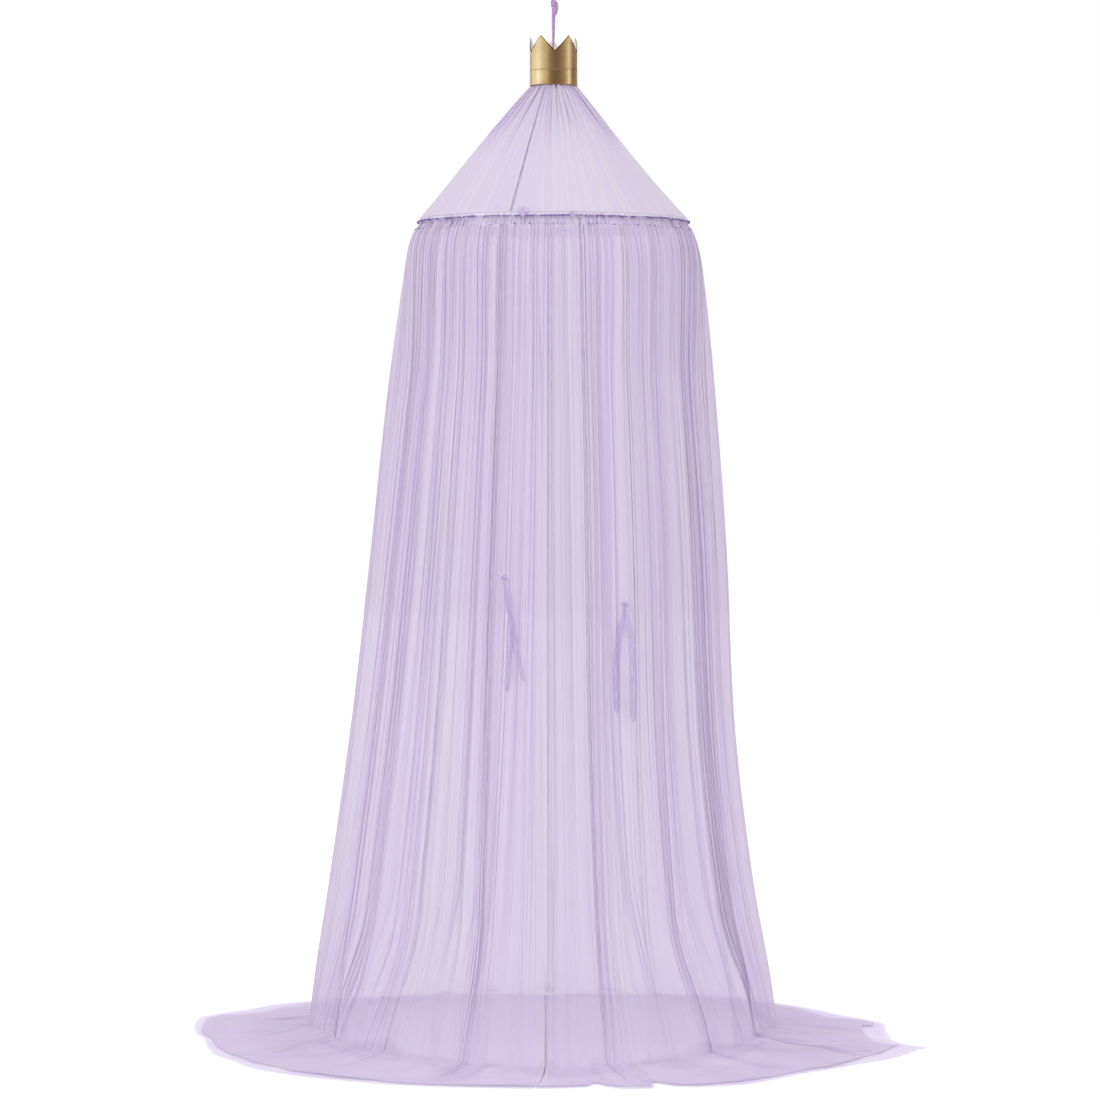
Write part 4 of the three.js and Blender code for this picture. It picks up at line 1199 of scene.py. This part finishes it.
room = {
    "floorReach": 12, "floorColour": (0.52, 0.52, 0.53, 1), "floorGlow": 0.64, "light": 1.0,
    "screenRadius": 5, "screenSides": 96, "screenFoot": 0.3, "screenTop": 3.5, "screenLight": 2.5,
    # how bright the screen is at each share of the way round, from the left by way of the front
    "screenTones": [
        (0, 1.95), (0.022, 1.95), (0.055, 1.7), (0.089, 1.25), (0.119, 1.0), (0.15, 0.88), (0.178, 0.6),
        (0.206, 0.33), (0.25, 0.22), (0.317, 0.22), (0.344, 0.31), (0.375, 0.36), (0.403, 0.52), (0.436, 0.8),
        (0.455, 1.2), (0.478, 1.7), (0.495, 1.1), (0.52, 0.5), (0.55, 0.34), (0.603, 0.36), (0.694, 0.5),
        (0.75, 0.6), (0.806, 0.7), (0.883, 0.95), (0.93, 1.45), (0.965, 1.5),
    ],
    # place, size, power, and the point each lamp looks at
    "lamps": {"keyLight": ((-2.6, -3.6, 0.4), 2.2, 44, (0, 0, -1.2)),
              "fillLight": ((3.2, -3.0, -0.6), 2.6, 20, (0, 0, -1.3))},
}


def makeFloor():
    mesh = bpy.data.meshes.new("studioFloor")
    work = bmesh.new()
    size = room["floorReach"]
    corners = [work.verts.new((x * size, y * size, floorLevel - 0.001))
               for x, y in ((-1, -1), (1, -1), (1, 1), (-1, 1))]
    work.faces.new(corners)
    work.to_mesh(mesh)
    work.free()
    material, tree, shader = startMaterial("paleFloor")
    shader.inputs["Base Color"].default_value = room["floorColour"]
    shader.inputs["Roughness"].default_value = 0.9
    path = addNode(tree, "ShaderNodeLightPath")
    glow = addNode(tree, "ShaderNodeMath", operation="MULTIPLY")
    tree.links.new(path.outputs["Is Camera Ray"], glow.inputs[0])
    glow.inputs[1].default_value = room["floorGlow"]
    shader.inputs["Emission Color"].default_value = (1, 1, 1, 1)
    tree.links.new(glow.outputs[0], shader.inputs["Emission Strength"])
    floor = newPiece("studioFloor", mesh, material)


def toneOf(level):
    # the darker parts of the room are browner, and its lit parts cooler
    red = np.interp(level, (0.3, 0.55, 1, 1.8), (1.3, 1.1, 1, 0.88))
    blue = np.interp(level, (0.3, 0.55, 1, 1.8), (0.92, 0.88, 1, 1.3))
    light = room["screenLight"]
    return level * float(red) / light, level / light, level * float(blue) / light, 1


def makeLight():
    world = bpy.data.worlds.new("softRoom")
    scene.world = world
    world.use_nodes = True
    tree = world.node_tree
    background = tree.nodes["Background"]
    background.inputs["Color"].default_value = (1, 1, 1, 1)
    background.inputs["Strength"].default_value = room["light"]

    # a screen round the room that only the metal's reflections see: dark in front, bright to both sides
    screen = bpy.data.meshes.new("reflectionScreen")
    work = bmesh.new()
    low, high = [], []
    radius, sides = room["screenRadius"], room["screenSides"]
    for i in range(sides):
        turn = 2 * math.pi * i / sides
        low.append(work.verts.new((radius * math.cos(turn), radius * math.sin(turn), floorLevel + room["screenFoot"])))
        high.append(work.verts.new((radius * math.cos(turn), radius * math.sin(turn), room["screenTop"])))
    for i in range(sides):
        k = (i + 1) % sides
        work.faces.new((low[k], low[i], high[i], high[k]))
    work.to_mesh(screen)
    work.free()
    material, tree, shader = startMaterial("reflectionTones")
    sweep = addNode(tree, "ShaderNodeTexGradient", gradient_type="RADIAL")
    tree.links.new(objectCoordinates(tree, (1, 1, 1)), sweep.inputs["Vector"])
    tones = rampOf(tree, sweep.outputs["Fac"], [(place, toneOf(level)) for place, level in room["screenTones"]])
    shader.inputs["Base Color"].default_value = (0, 0, 0, 1)
    shader.inputs["Specular IOR Level"].default_value = 0
    tree.links.new(tones, shader.inputs["Emission Color"])
    shader.inputs["Emission Strength"].default_value = room["screenLight"]
    backdrop = newPiece("reflectionScreen", screen, material)
    backdrop.visible_camera = False
    backdrop.visible_diffuse = False
    backdrop.visible_transmission = False
    backdrop.visible_shadow = False

    for name, (place, size, power, target) in room["lamps"].items():
        data = bpy.data.lights.new(name, "AREA")
        data.size = size
        data.energy = power
        lamp = bpy.data.objects.new(name, data)
        lamp.location = place
        lamp.visible_glossy = False
        lamp.rotation_euler = (Vector(target) - Vector(place)).to_track_quat("-Z", "Y").to_euler()
        scene.collection.objects.link(lamp)


makeFloor()
makeLight()
scene.view_settings.view_transform = "Standard"
scene.cycles.transparent_max_bounces = 64  # a ray meets many layers of net before it leaves
print("room lit")
